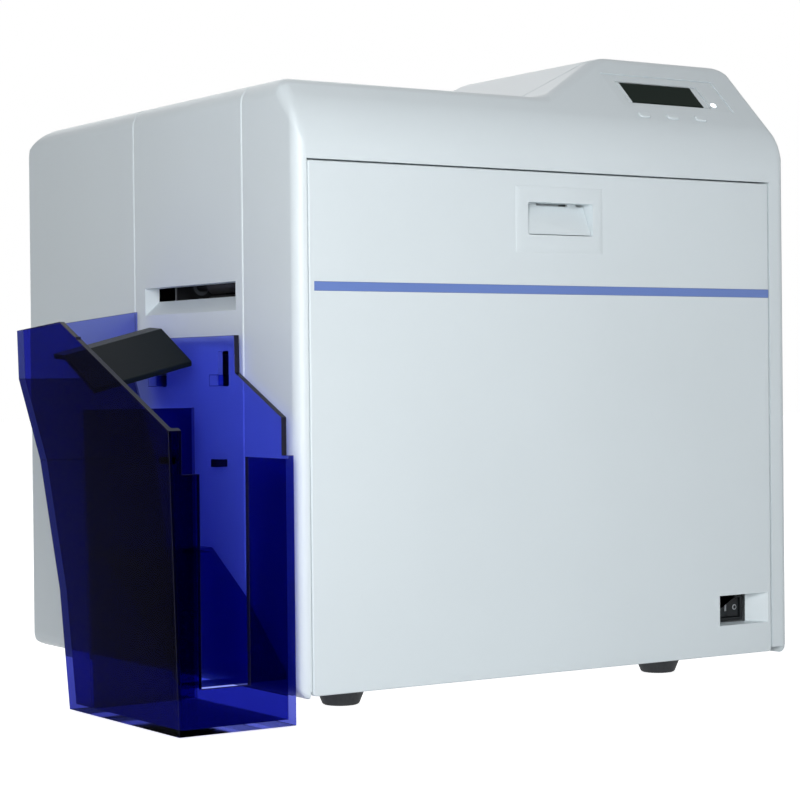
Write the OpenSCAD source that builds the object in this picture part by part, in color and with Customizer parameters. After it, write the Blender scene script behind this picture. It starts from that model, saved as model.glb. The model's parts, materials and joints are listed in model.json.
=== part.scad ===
// ID card printer: a moulded enclosure with a drop-down front door, a lifting hopper lid and a hung card
// stacker, around a retransfer mechanism carried between two upright plates.
// Body frame: x runs right from the left side, y runs back from the front face, z runs up from the floor.

/* [Enclosure] */
// Width of the enclosure
body_w = 343; // [330:1:420]
// Depth of the enclosure
body_d = 334; // [320:1:410]
// Height of the enclosure above its feet
body_h = 326; // [320:1:400]
// Thickness of the moulded shells
wall = 3; // [2.5:0.5:3.5]
// Radius along the top side edges
top_r = 12; // [8:1:16]
// Radius along the bottom side edges
bottom_r = 9; // [5:1:12]
// Radius of the upright corners
corner_r = 7; // [5:0.5:7]
// Radius at the top of the rear
rear_r = 38; // [20:1:50]
// Distance from the front face to the first seam
front_seam = 56; // [50:1:58]
// Distance from the front face to the second seam
rear_seam = 183; // [180:1:200]
// Gap between neighbouring shells
seam_gap = 0.4; // [0.3:0.1:0.6]
// Height of the rubber feet
foot_h = 12; // [8:1:16]
// Radius of the rubber feet
foot_r = 10; // [8:1:14]
// How far each foot's head stands out past its sole
foot_flare = 5; // [0:0.5:7]
// Distance of the feet from the nearest sides
foot_inset = 58; // [40:1:65]

/* [Control area] */
// Height where the front face starts to lean back, below the top
lean_start = 37.6; // [36:0.1:44]
// Radius of the bend into the sloped face
lean_r = 40; // [30:1:44]
// Rise of the control pod above the top
pod_rise = 31; // [24:1:36]
// Width of the control pod where it meets the top
pod_w = 164; // [150:1:164]
// Width of the pod's sloping left flank
pod_flank = 62; // [40:1:64]
// Width of the display
display_w = 62; // [50:1:66]
// Height of the display along the slope
display_h = 18.8; // [14:0.2:20]
// Width of one button
button_w = 8.5; // [6:0.5:10]
// Travel of one button
button_travel = 1.2; // [0.6:0.1:1.5]

/* [Front door] */
// Left edge of the door
door_left = 7.5; // [7:0.5:10]
// Distance from the door's right edge to the right side
door_right = 14.8; // [12:0.2:16]
// Distance from the door's top edge to the top
door_drop = 45; // [42:1:60]
// Gap around the door
door_gap = 0.8; // [0.6:0.1:1.2]
// Depth of the door's flanges
door_depth = 12; // [9:1:14]
// Height of the blue stripe
stripe_h = 5; // [3:0.5:8]
// Distance from the stripe's top to the door's top
stripe_drop = 63; // [56:1:70]
// Radius of the door's hinge pins
door_pin_r = 2.5; // [2:0.5:3]

/* [Card path] */
// Height of the card path above the floor
card_z = 228; // [220:1:240]
// Middle of the card path behind the front face
card_y = 107; // [105:1:109]
// Length of a card
card_l = 85.6; // [80:0.1:86]
// Width of a card
card_wd = 54; // [50:0.5:60]
// Radius of the roller shafts
shaft_r = 3; // [2.5:0.1:3.6]
// Running clearance of shafts, on the radius
run = 0.05; // [0.03:0.01:0.08]
// Radius of the feed rollers
feed_r = 6; // [5.5:0.1:6.2]
// Outer radius of the heat roller
heat_r = 13; // [10:0.5:14]
// Outer radius of the platen roller
platen_r = 15; // [12:0.5:15]

/* [Stacker] */
// Outward width of the stacker
stacker_w = 74; // [62:1:90]
// Gap between the stacker and the side
stacker_gap = 6; // [4:0.5:10]
// Depth of the stacker in front of the front face
stacker_proud = 5; // [0:0.5:8]
// Length of the stacker's upper mouth
stacker_l = 176.5; // [168:0.5:190]
// Wall of the stacker
stacker_t = 3; // [2:0.5:4]
// How far the stacker lifts off its hooks
stacker_lift = 12; // [8:1:14]

/* [Hidden] */
top_z = foot_h + body_h;
pod_z = top_z + pod_rise;
foot_xs = [foot_inset, body_w - foot_inset];
foot_ys = [foot_inset - 4, body_d - foot_inset];
foot_screw_r = 2;
slot_y0 = card_y - 43;
slot_y1 = slot_y0 + 106;
slot_z1 = card_z + 4.5;
slot_z0 = slot_z1 - 16.5;
slot_d = 9;
slot_throat = 103.5;
lean_z = top_z - lean_start;
slope_z = lean_z + lean_r * tan(22.5);
pod_x = body_w - pod_w;
lip = 6;
pan_t = 2;
pan_z = foot_h + pan_t;
pan_front = 24;
lid_x = pod_x + pod_flank + 3;
lid_y = front_seam + 6;
lid_z = top_z + 15;
lid_pin_y = rear_seam - 5;
lid_pin_z = lid_z + 4;
lid_pin_r = 1.5;
lid_ears = [lid_x + 14, body_w - 26];
lid_ear_w = 6;
door_x1 = body_w - door_right;
door_z0 = foot_h + 2;
door_z1 = top_z - door_drop;
door_t = 3;
stripe_z0 = door_z1 - stripe_drop - stripe_h;
latch_proud = 1.2;
latch_depth = 14;
pocket_depth = 12.4;
rocker_y = 17;
rocker_tilt = 6;
lamp_x = body_w - 35;
lamp_s = 20.5;
lamp_r = 1.8;
inlet_w = 27.4;
inlet_h = 20;
usb_x = body_w - 160;
net_x = body_w - 130;
door_pin_y = 8;
door_pin_z = door_z0 + 7;
door_knuckles = [door_left + 24, door_x1 - 24];
knuckle_w = 10;
ear_t = 3;
latch_x = body_w / 2;
latch_w = 61;
latch_h = 37;
latch_z1 = door_z1 - 8;
grip_w = 45.5;
grip_h = 18.5;
grip_z0 = latch_z1 - 27.5;
paddle_pin_y = 3;
tongue_x = 14;
paddle_pin_z = grip_z0 + 2.5;
switch_w = 22;
switch_h = 16;
switch_x = body_w - 38;
switch_z = foot_h + 28.5;
switch_y = 11.6;
display_x = body_w - 70;
display_s = 27.3;
bezel_w = display_w + 24;
bezel_h = display_h + 11;
bezel_x = display_x + 4;
bezel_s = display_s + 1.5;
bezel_t = 1.6;
button_s = 5.4;
button_h = 4.5;
button_step = 21.5;
button_x0 = display_x - 28;
button_proud = 0.9;
fit = 0.3;
panel_depth = 9;
frame_t = 2;
frame_gap = card_wd + 32;
frame_y0 = card_y - frame_gap / 2 - frame_t;
frame_y1 = card_y + frame_gap / 2;
frame_in0 = frame_y0 + frame_t;
frame_back = frame_y1 + frame_t;
frame_x0 = 10;
frame_x1 = body_w - 10;
frame_z1 = top_z - 6;
path_gap = 0.4;
bush_r = 5.2;
bush_flange = 1.5;
low_z = card_z - path_gap - feed_r;
pinch_r = feed_r - 1;
pinch_z = card_z + path_gap + pinch_r;
exit_x = 26;
heat_x = 80;
heat_z = card_z + path_gap + heat_r;
backup_r = 11;
backup_z = card_z - path_gap - backup_r;
flip_x = 150;
flip_r = 24;
flip_roller_r = 5;
feed_x = body_w - 129;
clean_x = body_w - 111;
clean_r = 8;
clean_z = card_z + path_gap + clean_r;
pick_x = body_w - 50;
hopper_x1 = body_w - 8;
hopper_x0 = hopper_x1 - card_l - 0.9;
hopper_t = 2;
hopper_z0 = card_z - path_gap;
hopper_z1 = top_z - 2;
platen_x = 165;
platen_z = foot_h + 138;
head_pin_x = platen_x + 45;
head_pin_z = platen_z + 48;
gear_m = 0.8;
gear_teeth = 42;
pinion_teeth = 14;
gear_gap = gear_m * (gear_teeth + pinion_teeth) / 2 + 0.1;
gear_y0 = frame_y1 - 7;
gear_t = 5;
motor_r = 16;
motor_l = 28;
film_x = 62;
ribbon_x = platen_x + 98;
supply_z = platen_z + 10;
takeup_z = platen_z - 65;
cassette_w = 72;
cassette_z0 = takeup_z - 34;
cassette_z1 = supply_z + 34;
spool_core_r = 8;
journal_r = 5;
belt_y0 = frame_back + 9;
belt_w = 6;
pulley_r = 7;
belt_t = 1.2;
stack_x0 = -stacker_gap - stacker_w;
stack_x1 = -stacker_gap;
stack_y0 = -stacker_proud;
stack_y1 = stack_y0 + stacker_l;
stack_draft = 6;
part_y = 96;
hook_z = foot_h + 164;
hook_ys = [78, 150];
hook_w = 10;
fan_size = 80;
fan_t = 25;
fan_x = 80;
fan_z = foot_h + 230;
port_x0 = body_w - 190;
port_x1 = body_w - 20;
port_z0 = foot_h + 12;
port_z1 = foot_h + 78;
port_in = 1.5;
port_t = 1.5;
inlet_x = body_w - 52;
inlet_z = foot_h + 40;
shaft_at = [[exit_x, low_z], [exit_x, pinch_z], [heat_x, heat_z], [heat_x, backup_z], [flip_x, card_z],
    [feed_x, low_z], [feed_x, pinch_z], [clean_x, clean_z], [pick_x, low_z], [platen_x, platen_z]];
rod_at = [[20, foot_h + 14], [20, frame_z1 - 14], [180, frame_z1 - 14], [frame_x1 - 10, foot_h + 188],
    [head_pin_x, head_pin_z]];
rod_r = 4;
rod_end_r = 2.5;
rail_in = card_wd / 2 + 1.4;
tube_half = card_wd / 2 + 1;
motor_face = frame_back + 20;
pinion_shaft_r = 2.5;
disc_t = 3;
disc_out = card_wd / 2 + 8;
fan_y1 = body_d - wall - fit;
shell_white = [0.80, 0.84, 0.85];
steel_grey = [0.62, 0.64, 0.66];
dark_grey = [0.13, 0.14, 0.15];
rubber_black = [0.08, 0.08, 0.09];
stack_blue = [0.10, 0.10, 0.45, 0.75];

function arc(cx, cy, r, a0, a1, n = 8) =
    [for (i = [0:n]) let (a = a0 + (a1 - a0) * i / n) [cx + r * cos(a), cy + r * sin(a)]];
function round_box(x0, y0, x1, y1, r) = concat(
    arc(x0 + r[0], y0 + r[0], r[0], 180, 270),
    arc(x1 - r[1], y0 + r[1], r[1], 270, 360),
    arc(x1 - r[2], y1 - r[2], r[2], 0, 90),
    arc(x0 + r[3], y1 - r[3], r[3], 90, 180));

// Outline of the side, in y and z, set in by g, with its flat top at z1 and its rear at y1
function side_outline(g, z0, z1, rt, y1, rr) = let (yc = rt * sqrt(2) + z1 - rt - slope_z) concat(
    [[y1 - g, z0]],
    arc(y1 - rr, z1 - rr, max(rr - g, 0.5), 0, 90),
    arc(yc, z1 - rt, rt - g, 90, 135, 6),
    arc(lean_r, lean_z, lean_r - g, 135, 180, 10),
    [[g, z0]]);

module along_x(x0, x1) {
    translate([x0, 0, 0]) rotate([90, 0, 90]) linear_extrude(x1 - x0) children();
}
module along_y(y0, y1) {
    translate([0, y1, 0]) rotate([90, 0, 0]) linear_extrude(y1 - y0) children();
}
module along_z(z0, z1) {
    translate([0, 0, z0]) linear_extrude(z1 - z0) children();
}
module box(a, b) {
    translate(a) cube(b - a);
}
module rod_y(x, z, r, y0, y1) {
    translate([x, y1, z]) rotate([90, 0, 0]) cylinder(r = r, h = y1 - y0, $fn = 48);
}
module rod_x(y, z, r, x0, x1) {
    translate([x0, y, z]) rotate([0, 90, 0]) cylinder(r = r, h = x1 - x0, $fn = 48);
}
// Moves the body frame so that the whole object stands centred on the origin
module at_body() {
    translate([-(body_w + stack_x0) / 2, -(body_d + stack_y0) / 2, 0]) children();
}
// Local frame on the sloped face: x along the body, y up the slope, z out of the face
module on_slope() {
    translate([0, 10, slope_z + 10]) rotate([45, 0, 0]) children();
}

// Solid inside the enclosure's outline, set in by g
module body_form(g) {
    intersection() {
        along_y(-1, body_d + 1) polygon(round_box(g, foot_h + g, body_w - g, top_z - g,
            [bottom_r - g, bottom_r - g, top_r - g, top_r - g]));
        along_x(-1, body_w + 1) polygon(side_outline(g, foot_h - 1, top_z, 10, body_d, rear_r));
        along_z(foot_h - 1, top_z + 1) polygon(round_box(g, g, body_w - g, body_d - g,
            [corner_r - g, corner_r - g, corner_r - g, corner_r - g]));
    }
}
// Front view of the enclosure and its control pod, set in by g
function front_outline(g) = let (slope = pod_flank / pod_rise,
        x = pod_x + g * sqrt(1 + slope * slope) - g * slope)
    concat(
    arc(bottom_r, foot_h + bottom_r, bottom_r - g, 180, 270),
    arc(body_w - bottom_r, foot_h + bottom_r, bottom_r - g, 270, 360),
    arc(body_w - top_r, pod_z - top_r, top_r - g, 0, 90),
    [[x + pod_flank, pod_z - g], [x, top_z - g]],
    arc(top_r, top_z - top_r, top_r - g, 90, 180));
// Solid inside the part of the enclosure that carries the pod, set in by g
module pod_form(g) {
    intersection() {
        along_y(-1, rear_seam + 1) polygon(front_outline(g));
        along_x(-1, body_w + 1) polygon(side_outline(g, foot_h - 1, pod_z, 14, rear_seam + 20, 4));
        along_z(foot_h - 1, pod_z + 1) polygon(round_box(g, g, body_w - g, rear_seam + 5,
            [corner_r - g, corner_r - g, 1, 1]));
    }
}
module shell_form(y0, y1) {
    intersection() {
        difference() {
            pod_form(0);
            pod_form(wall);
        }
        box([-2, y0, 0], [body_w + 2, y1, pod_z + 2]);
    }
}
module bottom_opening() {
    box([lip, -1, foot_h - 1], [body_w - lip, body_d - lip, foot_h + wall + 1.5]);
}
// Flared recess that leads cards out through the left side, grown by g
module side_funnel(g) {
    intersection() {
        along_z(slot_z0 - 5, slot_z1 + 5) polygon([[-1, slot_y0 - g], [-1, slot_y1 + g],
            [slot_d, slot_y0 + 2 + slot_throat + g], [slot_d, slot_y0 + 2 - g]]);
        along_y(slot_y0 - 5, slot_y1 + 5) polygon([[-1, slot_z0 - g], [-1, slot_z1 + g],
            [slot_d, slot_z1 + g], [slot_d, slot_z1 - 7.5 - g]]);
    }
}

module base_pan() {
    color(steel_grey) at_body() difference() {
        union() {
            box([lip + fit, pan_front, foot_h], [body_w - lip - fit, body_d - lip - fit, pan_z]);
            for (x = [lip + fit, body_w - lip - fit - pan_t])
                box([x, pan_front, foot_h], [x + pan_t, body_d - lip - fit, foot_h + 14]);
            for (k = door_knuckles)
                for (x = [k - knuckle_w / 2 - fit - ear_t, k + knuckle_w / 2 + fit])
                    along_x(x, x + ear_t) union() {
                        translate([door_pin_y, door_pin_z]) circle(r = door_pin_r + 2, $fn = 48);
                        polygon([[door_pin_y, door_pin_z - 3.8], [pan_front + 8, door_pin_z - 3.8],
                            [pan_front + 8, door_pin_z + 4], [door_pin_y, door_pin_z + 4]]);
                        polygon([[pan_front, foot_h], [pan_front + 8, foot_h],
                            [pan_front + 8, door_pin_z + 4], [pan_front, door_pin_z + 4]]);
                    }
            box([switch_x - 20, pan_front, foot_h], [switch_x + 20, pan_front + pan_t, switch_z + 14]);
        }
        for (k = door_knuckles)
            rod_x(door_pin_y, door_pin_z, door_pin_r, k - knuckle_w, k + knuckle_w);
        box([switch_x - switch_w / 2 + 1 - fit, pan_front - 1, switch_z - switch_h / 2 + 1 - fit],
            [switch_x + switch_w / 2 - 1 + fit, pan_front + pan_t + 1, switch_z + switch_h / 2 - 1 + fit]);
        for (x = foot_xs, y = foot_ys)
            translate([x, y, foot_h - 1]) cylinder(r = foot_screw_r, h = pan_t + 2, $fn = 32);
        for (i = [0:7])
            box([84 + 24 * i, body_d - 90, foot_h - 1], [88 + 24 * i, body_d - 40, pan_z + 1]);
    }
}
module rubber_feet() {
    color(rubber_black) at_body() for (x = foot_xs, y = foot_ys)
        translate([x, y, 0]) difference() {
            cylinder(r1 = foot_r, r2 = foot_r + foot_flare, h = foot_h, $fn = 64);
            translate([0, 0, -1]) cylinder(r = foot_screw_r + 2, h = 4, $fn = 32);
            translate([0, 0, -1]) cylinder(r = foot_screw_r, h = foot_h + 2, $fn = 32);
        }
}
module case_screws() {
    color(steel_grey) at_body() {
        for (x = foot_xs, y = foot_ys) {
            translate([x, y, 3]) cylinder(r = foot_screw_r, h = pan_z - 3.2, $fn = 32);
            translate([x, y, 1.5]) cylinder(r = foot_screw_r + 1.8, h = 1.5, $fn = 32);
        }
        for (x = [port_x0 + 5, port_x1 - 5], z = [port_z0 + 5, port_z1 - 5])
            rod_y(x, z, 3, body_d - port_in, body_d - port_in + 1.2);
    }
}
module front_shell() {
    z1 = door_z1 + door_gap;
    x0 = door_left - door_gap;
    x1 = door_x1 + door_gap;
    color(shell_white) at_body() difference() {
        union() {
            shell_form(0, front_seam - seam_gap / 2);
            box([x0 - 2, 2, foot_h + 6], [x0, 15, z1 + 2]);
            box([x1, 2, foot_h + 6], [x1 + 2, 15, z1 + 2]);
            box([x0 - 2, 2, z1], [x1 + 2, 18, z1 + 2]);
            box([latch_x - 20, 18, door_z1 - 16], [latch_x + 20, 20, z1 + 2]);
            for (x = [button_x0 - 9, display_x + 38], s = [button_s - 2.5, button_s + 30])
                on_slope() translate([x, s, -panel_depth]) cylinder(r = 2.4, h = panel_depth - 1, $fn = 32);
        }
        bottom_opening();
        box([x0, -1, foot_h - 1], [x1, wall + 0.5, z1]);
        box([x0, -1, foot_h - 1], [x1, 15.5, foot_h + 7]);
        for (s = [-1, 1])
            box([latch_x + s * tongue_x - 4, 17, door_z1 - 13],
                    [latch_x + s * tongue_x + 4, 21, door_z1 - 4]);
        on_slope() {
            box([bezel_x - bezel_w / 2, bezel_s - bezel_h / 2, -bezel_t],
                [bezel_x + bezel_w / 2, bezel_s + bezel_h / 2, 2]);
            box([display_x - display_w / 2 - 1, display_s - display_h / 2 - 1, -wall - 2],
                [display_x + display_w / 2 + 1, display_s + display_h / 2 + 1, 1]);
            for (i = [0:2])
                box([button_x0 + button_step * i - button_w / 2 - fit, button_s - button_h / 2 - fit,
                        -wall - 1],
                    [button_x0 + button_step * i + button_w / 2 + fit, button_s + button_h / 2 + fit, 1]);
        }
    }
}
module lid_post(e) {
    difference() {
        along_x(e - 5 - fit, e - fit) polygon([[lid_pin_y - 3, top_z - 8],
            [rear_seam - 2, top_z - 8], [rear_seam - 2, top_z], [rear_seam - 3.4, top_z + 1.4],
            [rear_seam - 3.4, lid_pin_z - 4], [lid_pin_y + 1.6, lid_pin_z + 2.6],
            [lid_pin_y - 3, lid_pin_z + 2.6]]);
        rod_x(lid_pin_y, lid_pin_z, lid_pin_r + run, e - 7, e + 1);
    }
}
module middle_shell() {
    z1 = lid_z - seam_gap;
    color(shell_white) at_body() {
        difference() {
            union() {
                shell_form(front_seam + seam_gap / 2, rear_seam - seam_gap / 2);
                intersection() {
                    side_funnel(2);
                    box([0, 0, 0], [slot_d, body_d, top_z]);
                }
                intersection() {
                    pod_form(1);
                    box([pod_x, rear_seam - wall, top_z - wall], [body_w, rear_seam - seam_gap / 2, pod_z]);
                }
            }
            side_funnel(0);
            box([slot_d - 1, slot_y0 + 2, slot_z1 - 7.5], [slot_d + 1, slot_y0 + 2 + slot_throat, slot_z1]);
            bottom_opening();
            box([lid_x - seam_gap, lid_y - seam_gap, z1], [body_w + 1, rear_seam + 1, pod_z + 1]);
            box([lid_x - seam_gap, rear_seam - 9.6, lid_pin_z - 7.5], [body_w + 1, rear_seam + 1, z1 + 1]);
            for (y = hook_ys)
                box([-1, y - hook_w / 2 - 1, hook_z - fit],
                    [wall + 1, y + hook_w / 2 + 1, hook_z + 7 + stacker_lift]);
        }
        for (e = lid_ears)
            lid_post(e);
    }
}
module rear_shell() {
    color(shell_white) at_body() difference() {
        intersection() {
            body_form(0);
            box([-1, rear_seam + seam_gap / 2, 0], [body_w + 1, body_d + 1, top_z + 1]);
        }
        body_form(wall);
        bottom_opening();
        box([port_x0 - fit, body_d - 8, port_z0 - fit], [port_x1 + fit, body_d + 1, port_z1 + fit]);
        for (i = [0:8])
            box([fan_x - 36 + 8 * i, body_d - 8, fan_z - 36], [fan_x - 32 + 8 * i, body_d + 1, fan_z + 36]);
        for (i = [0:11])
            box([body_w - 8, rear_seam + 34 + 8 * i, foot_h + 40],
                    [body_w + 1, rear_seam + 38 + 8 * i, foot_h + 110]);
    }
}
module connector_panel() {
    y1 = body_d - port_in;
    color(steel_grey) at_body() difference() {
        union() {
            box([port_x0, y1 - port_t, port_z0], [port_x1, y1, port_z1]);
            for (z = [port_z0, port_z1 - 1])
                box([port_x0 + 4, y1 - 14, z], [port_x1 - 4, y1, z + 1]);
        }
        box([inlet_x - inlet_w / 2, y1 - 5, inlet_z - inlet_h / 2],
                [inlet_x + inlet_w / 2, y1 + 1, inlet_z + inlet_h / 2]);
        box([usb_x - 6.2, y1 - 5, inlet_z - 5.6], [usb_x + 6.2, y1 + 1, inlet_z + 5.6]);
        box([net_x - 8.2, y1 - 5, inlet_z - 7], [net_x + 8.2, y1 + 1, inlet_z + 7]);
    }
}
module door_funnel(g) {
    x0 = switch_x - 18;
    x1 = switch_x + 21.4;
    z0 = switch_z - 8.8;
    z1 = switch_z + 9;
    d = switch_y - 1;
    intersection() {
        along_z(z0 - 9, z1 + 9) polygon([[x0 - g, -1], [x1 + g, -1], [switch_x + 11.7 + g, d],
                [switch_x - 11.7 - g, d]]);
        along_x(x0 - 9, x1 + 9) polygon([[-1, z0 - g], [d, switch_z - 8.3 - g], [d, switch_z + 8.3 + g],
                [-1, z1 + g]]);
    }
}
module front_door() {
    d1 = door_depth;
    color(shell_white) at_body() difference() {
        union() {
            along_y(0, door_t) polygon(round_box(door_left, door_z0, door_x1, door_z1, [2, 2, 1, 1]));
            for (x = [door_left, door_x1 - 2.5])
                box([x, 1, door_z0 + 18], [x + 2.5, d1, door_z1]);
            box([door_left, 1, door_z1 - 2.5], [door_x1, d1, door_z1]);
            box([door_left, 1, door_z0 + 18], [door_x1, d1 - 3, door_z0 + 20]);
            for (i = [1:4])
                box([door_left + i * 62, 1, door_z0 + 19], [door_left + i * 62 + 2, d1 - 5, door_z1 - 70]);
            box([door_left, 1, door_z1 - 71], [door_x1, d1 - 5, door_z1 - 69]);
            for (k = door_knuckles)
                along_x(k - knuckle_w / 2, k + knuckle_w / 2) union() {
                    translate([door_pin_y, door_pin_z]) circle(r = door_pin_r + 2.5, $fn = 48);
                    polygon([[1, door_pin_z - 4], [door_pin_y, door_pin_z - 4],
                            [door_pin_y + 3, door_pin_z + 4],
                        [6, door_z0 + 19], [1, door_z0 + 19]]);
                }
            intersection() {
                door_funnel(2);
                box([0, 1, 0], [body_w, switch_y - 1, top_z]);
            }
            box([latch_x - latch_w / 2 + 1, 1, latch_z1 - latch_h + 1],
                    [latch_x + latch_w / 2 - 1, 4.5, latch_z1 - 1]);
        }
        door_funnel(0);
        for (k = door_knuckles)
            rod_x(door_pin_y, door_pin_z, door_pin_r + run, k - knuckle_w, k + knuckle_w);
        box([latch_x - latch_w / 2 + 3, -1, latch_z1 - latch_h + 3],
                [latch_x + latch_w / 2 - 3, 5, latch_z1 - 3]);
        box([door_left + 3, -1, stripe_z0], [door_x1 + 1, 0.5, stripe_z0 + stripe_h]);
        for (s = [-1, 1])
            box([latch_x + s * tongue_x - 5, 3.2, door_z1 - 12],
                [latch_x + s * tongue_x + 5, d1 + 1, door_z1 - 1.2]);
    }
}
module door_stripe() {
    color([0.33, 0.42, 0.72]) at_body()
        box([door_left + 3, 0, stripe_z0], [door_x1, 0.5, stripe_z0 + stripe_h]);
}
module hinge_pins() {
    color(steel_grey) at_body() {
        for (k = door_knuckles)
            rod_x(door_pin_y, door_pin_z, door_pin_r, k - knuckle_w / 2 - fit - ear_t,
                    k + knuckle_w / 2 + fit + ear_t);
        for (e = lid_ears)
            rod_x(lid_pin_y, lid_pin_z, lid_pin_r, e - 5 - fit, e + lid_ear_w + 1);
    }
}
module latch_bezel() {
    z0 = latch_z1 - latch_h;
    color(shell_white) at_body() difference() {
        union() {
            box([latch_x - latch_w / 2, -latch_proud, z0], [latch_x + latch_w / 2, 0, latch_z1]);
            box([latch_x - latch_w / 2 + 3 + fit, -0.1, z0 + 3 + fit],
                [latch_x + latch_w / 2 - 3 - fit, latch_depth, latch_z1 - 3 - fit]);
        }
        box([latch_x - grip_w / 2, -3, grip_z0], [latch_x + grip_w / 2, pocket_depth, grip_z0 + grip_h]);
        for (s = [-1, 1])
            box([latch_x + s * tongue_x - 5, 5, grip_z0 + grip_h - 7],
                [latch_x + s * tongue_x + 5, latch_depth + 1, latch_z1 - 1]);
        rod_x(paddle_pin_y, paddle_pin_z, 1.5, latch_x - grip_w / 2 - 3, latch_x + grip_w / 2 + 3);
    }
}
// Finger paddle: flush at its foot, set back at its head, turning on its own two stub pins
module latch_paddle() {
    x0 = latch_x - grip_w / 2 + fit;
    x1 = latch_x + grip_w / 2 - fit;
    color(shell_white) at_body() {
        along_x(x0, x1) polygon([[0.4, grip_z0 + fit + 0.5], [5.2, grip_z0 + fit + 0.5],
            [9.2, grip_z0 + grip_h - 1], [7, grip_z0 + grip_h - 1], [0.4, grip_z0 + 4.5]]);
        rod_x(paddle_pin_y, paddle_pin_z, 1.45, x0 - 2.5, x1 + 2.5);
        for (s = [-1, 1])
            along_x(latch_x + s * tongue_x - 3,
                    latch_x + s * tongue_x + 3) polygon([[7, grip_z0 + grip_h - 4],
                [9.2, grip_z0 + grip_h - 4], [9.2, door_z1 - 8.5], [20.2, door_z1 - 8.5],
                        [20.2, door_z1 - 6.5],
                [7, door_z1 - 6.5]]);
    }
}
module hopper_lid() {
    y1 = rear_seam - seam_gap / 2;
    color(shell_white) at_body() difference() {
        union() {
            difference() {
                intersection() {
                    pod_form(0);
                    box([lid_x, lid_y, lid_z], [body_w + 1, y1, pod_z + 1]);
                }
                intersection() {
                    pod_form(wall);
                    box([lid_x + 2, lid_y + 2, lid_z - 1], [body_w, y1 - 2, pod_z]);
                }
            }
            for (e = lid_ears)
                along_x(e, e + lid_ear_w) union() {
                    translate([lid_pin_y, lid_pin_z]) circle(r = 3, $fn = 48);
                    polygon([[lid_pin_y - 3, lid_pin_z], [lid_pin_y + 3, lid_pin_z],
                        [lid_pin_y + 3, pod_z - 2], [lid_pin_y - 3, pod_z - 2]]);
                }
        }
        for (e = lid_ears) {
            rod_x(lid_pin_y, lid_pin_z, lid_pin_r + run, e - 1, e + lid_ear_w + 2);
            box([e - 6 - fit, y1 - 3, lid_z - 1], [e, y1 + 1, lid_pin_z + 6]);
        }
    }
}
module display_bezel() {
    color(shell_white) at_body() on_slope() difference() {
        box([bezel_x - bezel_w / 2 + 0.1, bezel_s - bezel_h / 2 + 0.1, -bezel_t],
            [bezel_x + bezel_w / 2 - 0.1, bezel_s + bezel_h / 2 - 0.1, -0.4]);
        box([display_x - display_w / 2, display_s - display_h / 2, -3],
                [display_x + display_w / 2, display_s + display_h / 2, 1]);
        translate([lamp_x, lamp_s, -3]) cylinder(r = lamp_r, h = 4, $fn = 32);
    }
}
module display_window() {
    color([0.10, 0.14, 0.12]) at_body() on_slope()
        box([display_x - display_w / 2 + 0.1, display_s - display_h / 2 + 0.1, -wall],
            [display_x + display_w / 2 - 0.1, display_s + display_h / 2 - 0.1, -1]);
}
// Board under the sloped face, with the display module and the switches under the buttons
module panel_board() {
    color([0.10, 0.35, 0.18]) at_body() on_slope() {
        box([button_x0 - 13, button_s - 5.5, -panel_depth - 1.6],
                [display_x + 42, button_s + 33, -panel_depth]);
        box([display_x - display_w / 2 - 0.8, display_s - display_h / 2 - 0.8, -panel_depth],
            [display_x + display_w / 2 + 0.8, display_s + display_h / 2 + 0.8, -wall - 0.1]);
        for (i = [0:2])
            box([button_x0 + button_step * i - 3, button_s - 2, -panel_depth],
                [button_x0 + button_step * i + 3, button_s + 2, -wall - 1.1 - button_travel - fit]);
    }
}
module button(i) {
    color(shell_white) at_body() on_slope() translate([button_x0 + button_step * i, button_s, 0]) {
        along_z(-wall - 1, button_proud) polygon(round_box(-button_w / 2, -button_h / 2, button_w / 2,
                button_h / 2,
            [2, 2, 2, 2]));
        box([-button_w / 2 - 1, -button_h / 2, -wall - 1.1], [button_w / 2 + 1, button_h / 2, -wall - 0.3]);
    }
}
module button_left() {
    button(0);
}
module button_middle() {
    button(1);
}
module button_right() {
    button(2);
}
module status_lamp() {
    color([0.75, 0.90, 1.0]) at_body() on_slope() translate([lamp_x, lamp_s, -bezel_t])
        cylinder(r = lamp_r, h = bezel_t + 0.3, $fn = 32);
}
module switch_housing() {
    w = switch_w / 2;
    h = switch_h / 2;
    color(dark_grey) at_body() difference() {
        union() {
            box([switch_x - w, switch_y, switch_z - h], [switch_x + w, switch_y + 2, switch_z + h]);
            box([switch_x - w + 1, switch_y, switch_z - h + 1],
                    [switch_x + w - 1, pan_front + 12, switch_z + h - 1]);
            for (s = [-1, 1])
                box([switch_x + s * 6 - 2, pan_front + 12, switch_z - 3],
                        [switch_x + s * 6 + 2, pan_front + 19, switch_z - 2]);
        }
        box([switch_x - w + 2.2, switch_y - 1, switch_z - h + 2.2],
                [switch_x + w - 2.2, pan_front + 2, switch_z + h - 2.2]);
        translate([switch_x, rocker_y, switch_z - h]) cylinder(r = 1.2, h = 2 * h, $fn = 32);
    }
}
// Rocker with two faces that meet at a shallow V, turning on its upright stub pins
module power_rocker() {
    w = switch_w / 2 - 3;
    h = switch_h / 2 - 2.5;
    color(dark_grey) at_body() translate([switch_x, rocker_y, switch_z]) rotate([0, 0, rocker_tilt]) {
        along_z(-h, h) polygon([[-w, -5], [0, -3.4], [w, -5], [w, -0.5], [3, 2.2], [-3, 2.2], [-w, -0.5]]);
        translate([0, 0, -h - 1.5]) cylinder(r = 1.15, h = 2 * h + 3, $fn = 32);
    }
}

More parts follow.
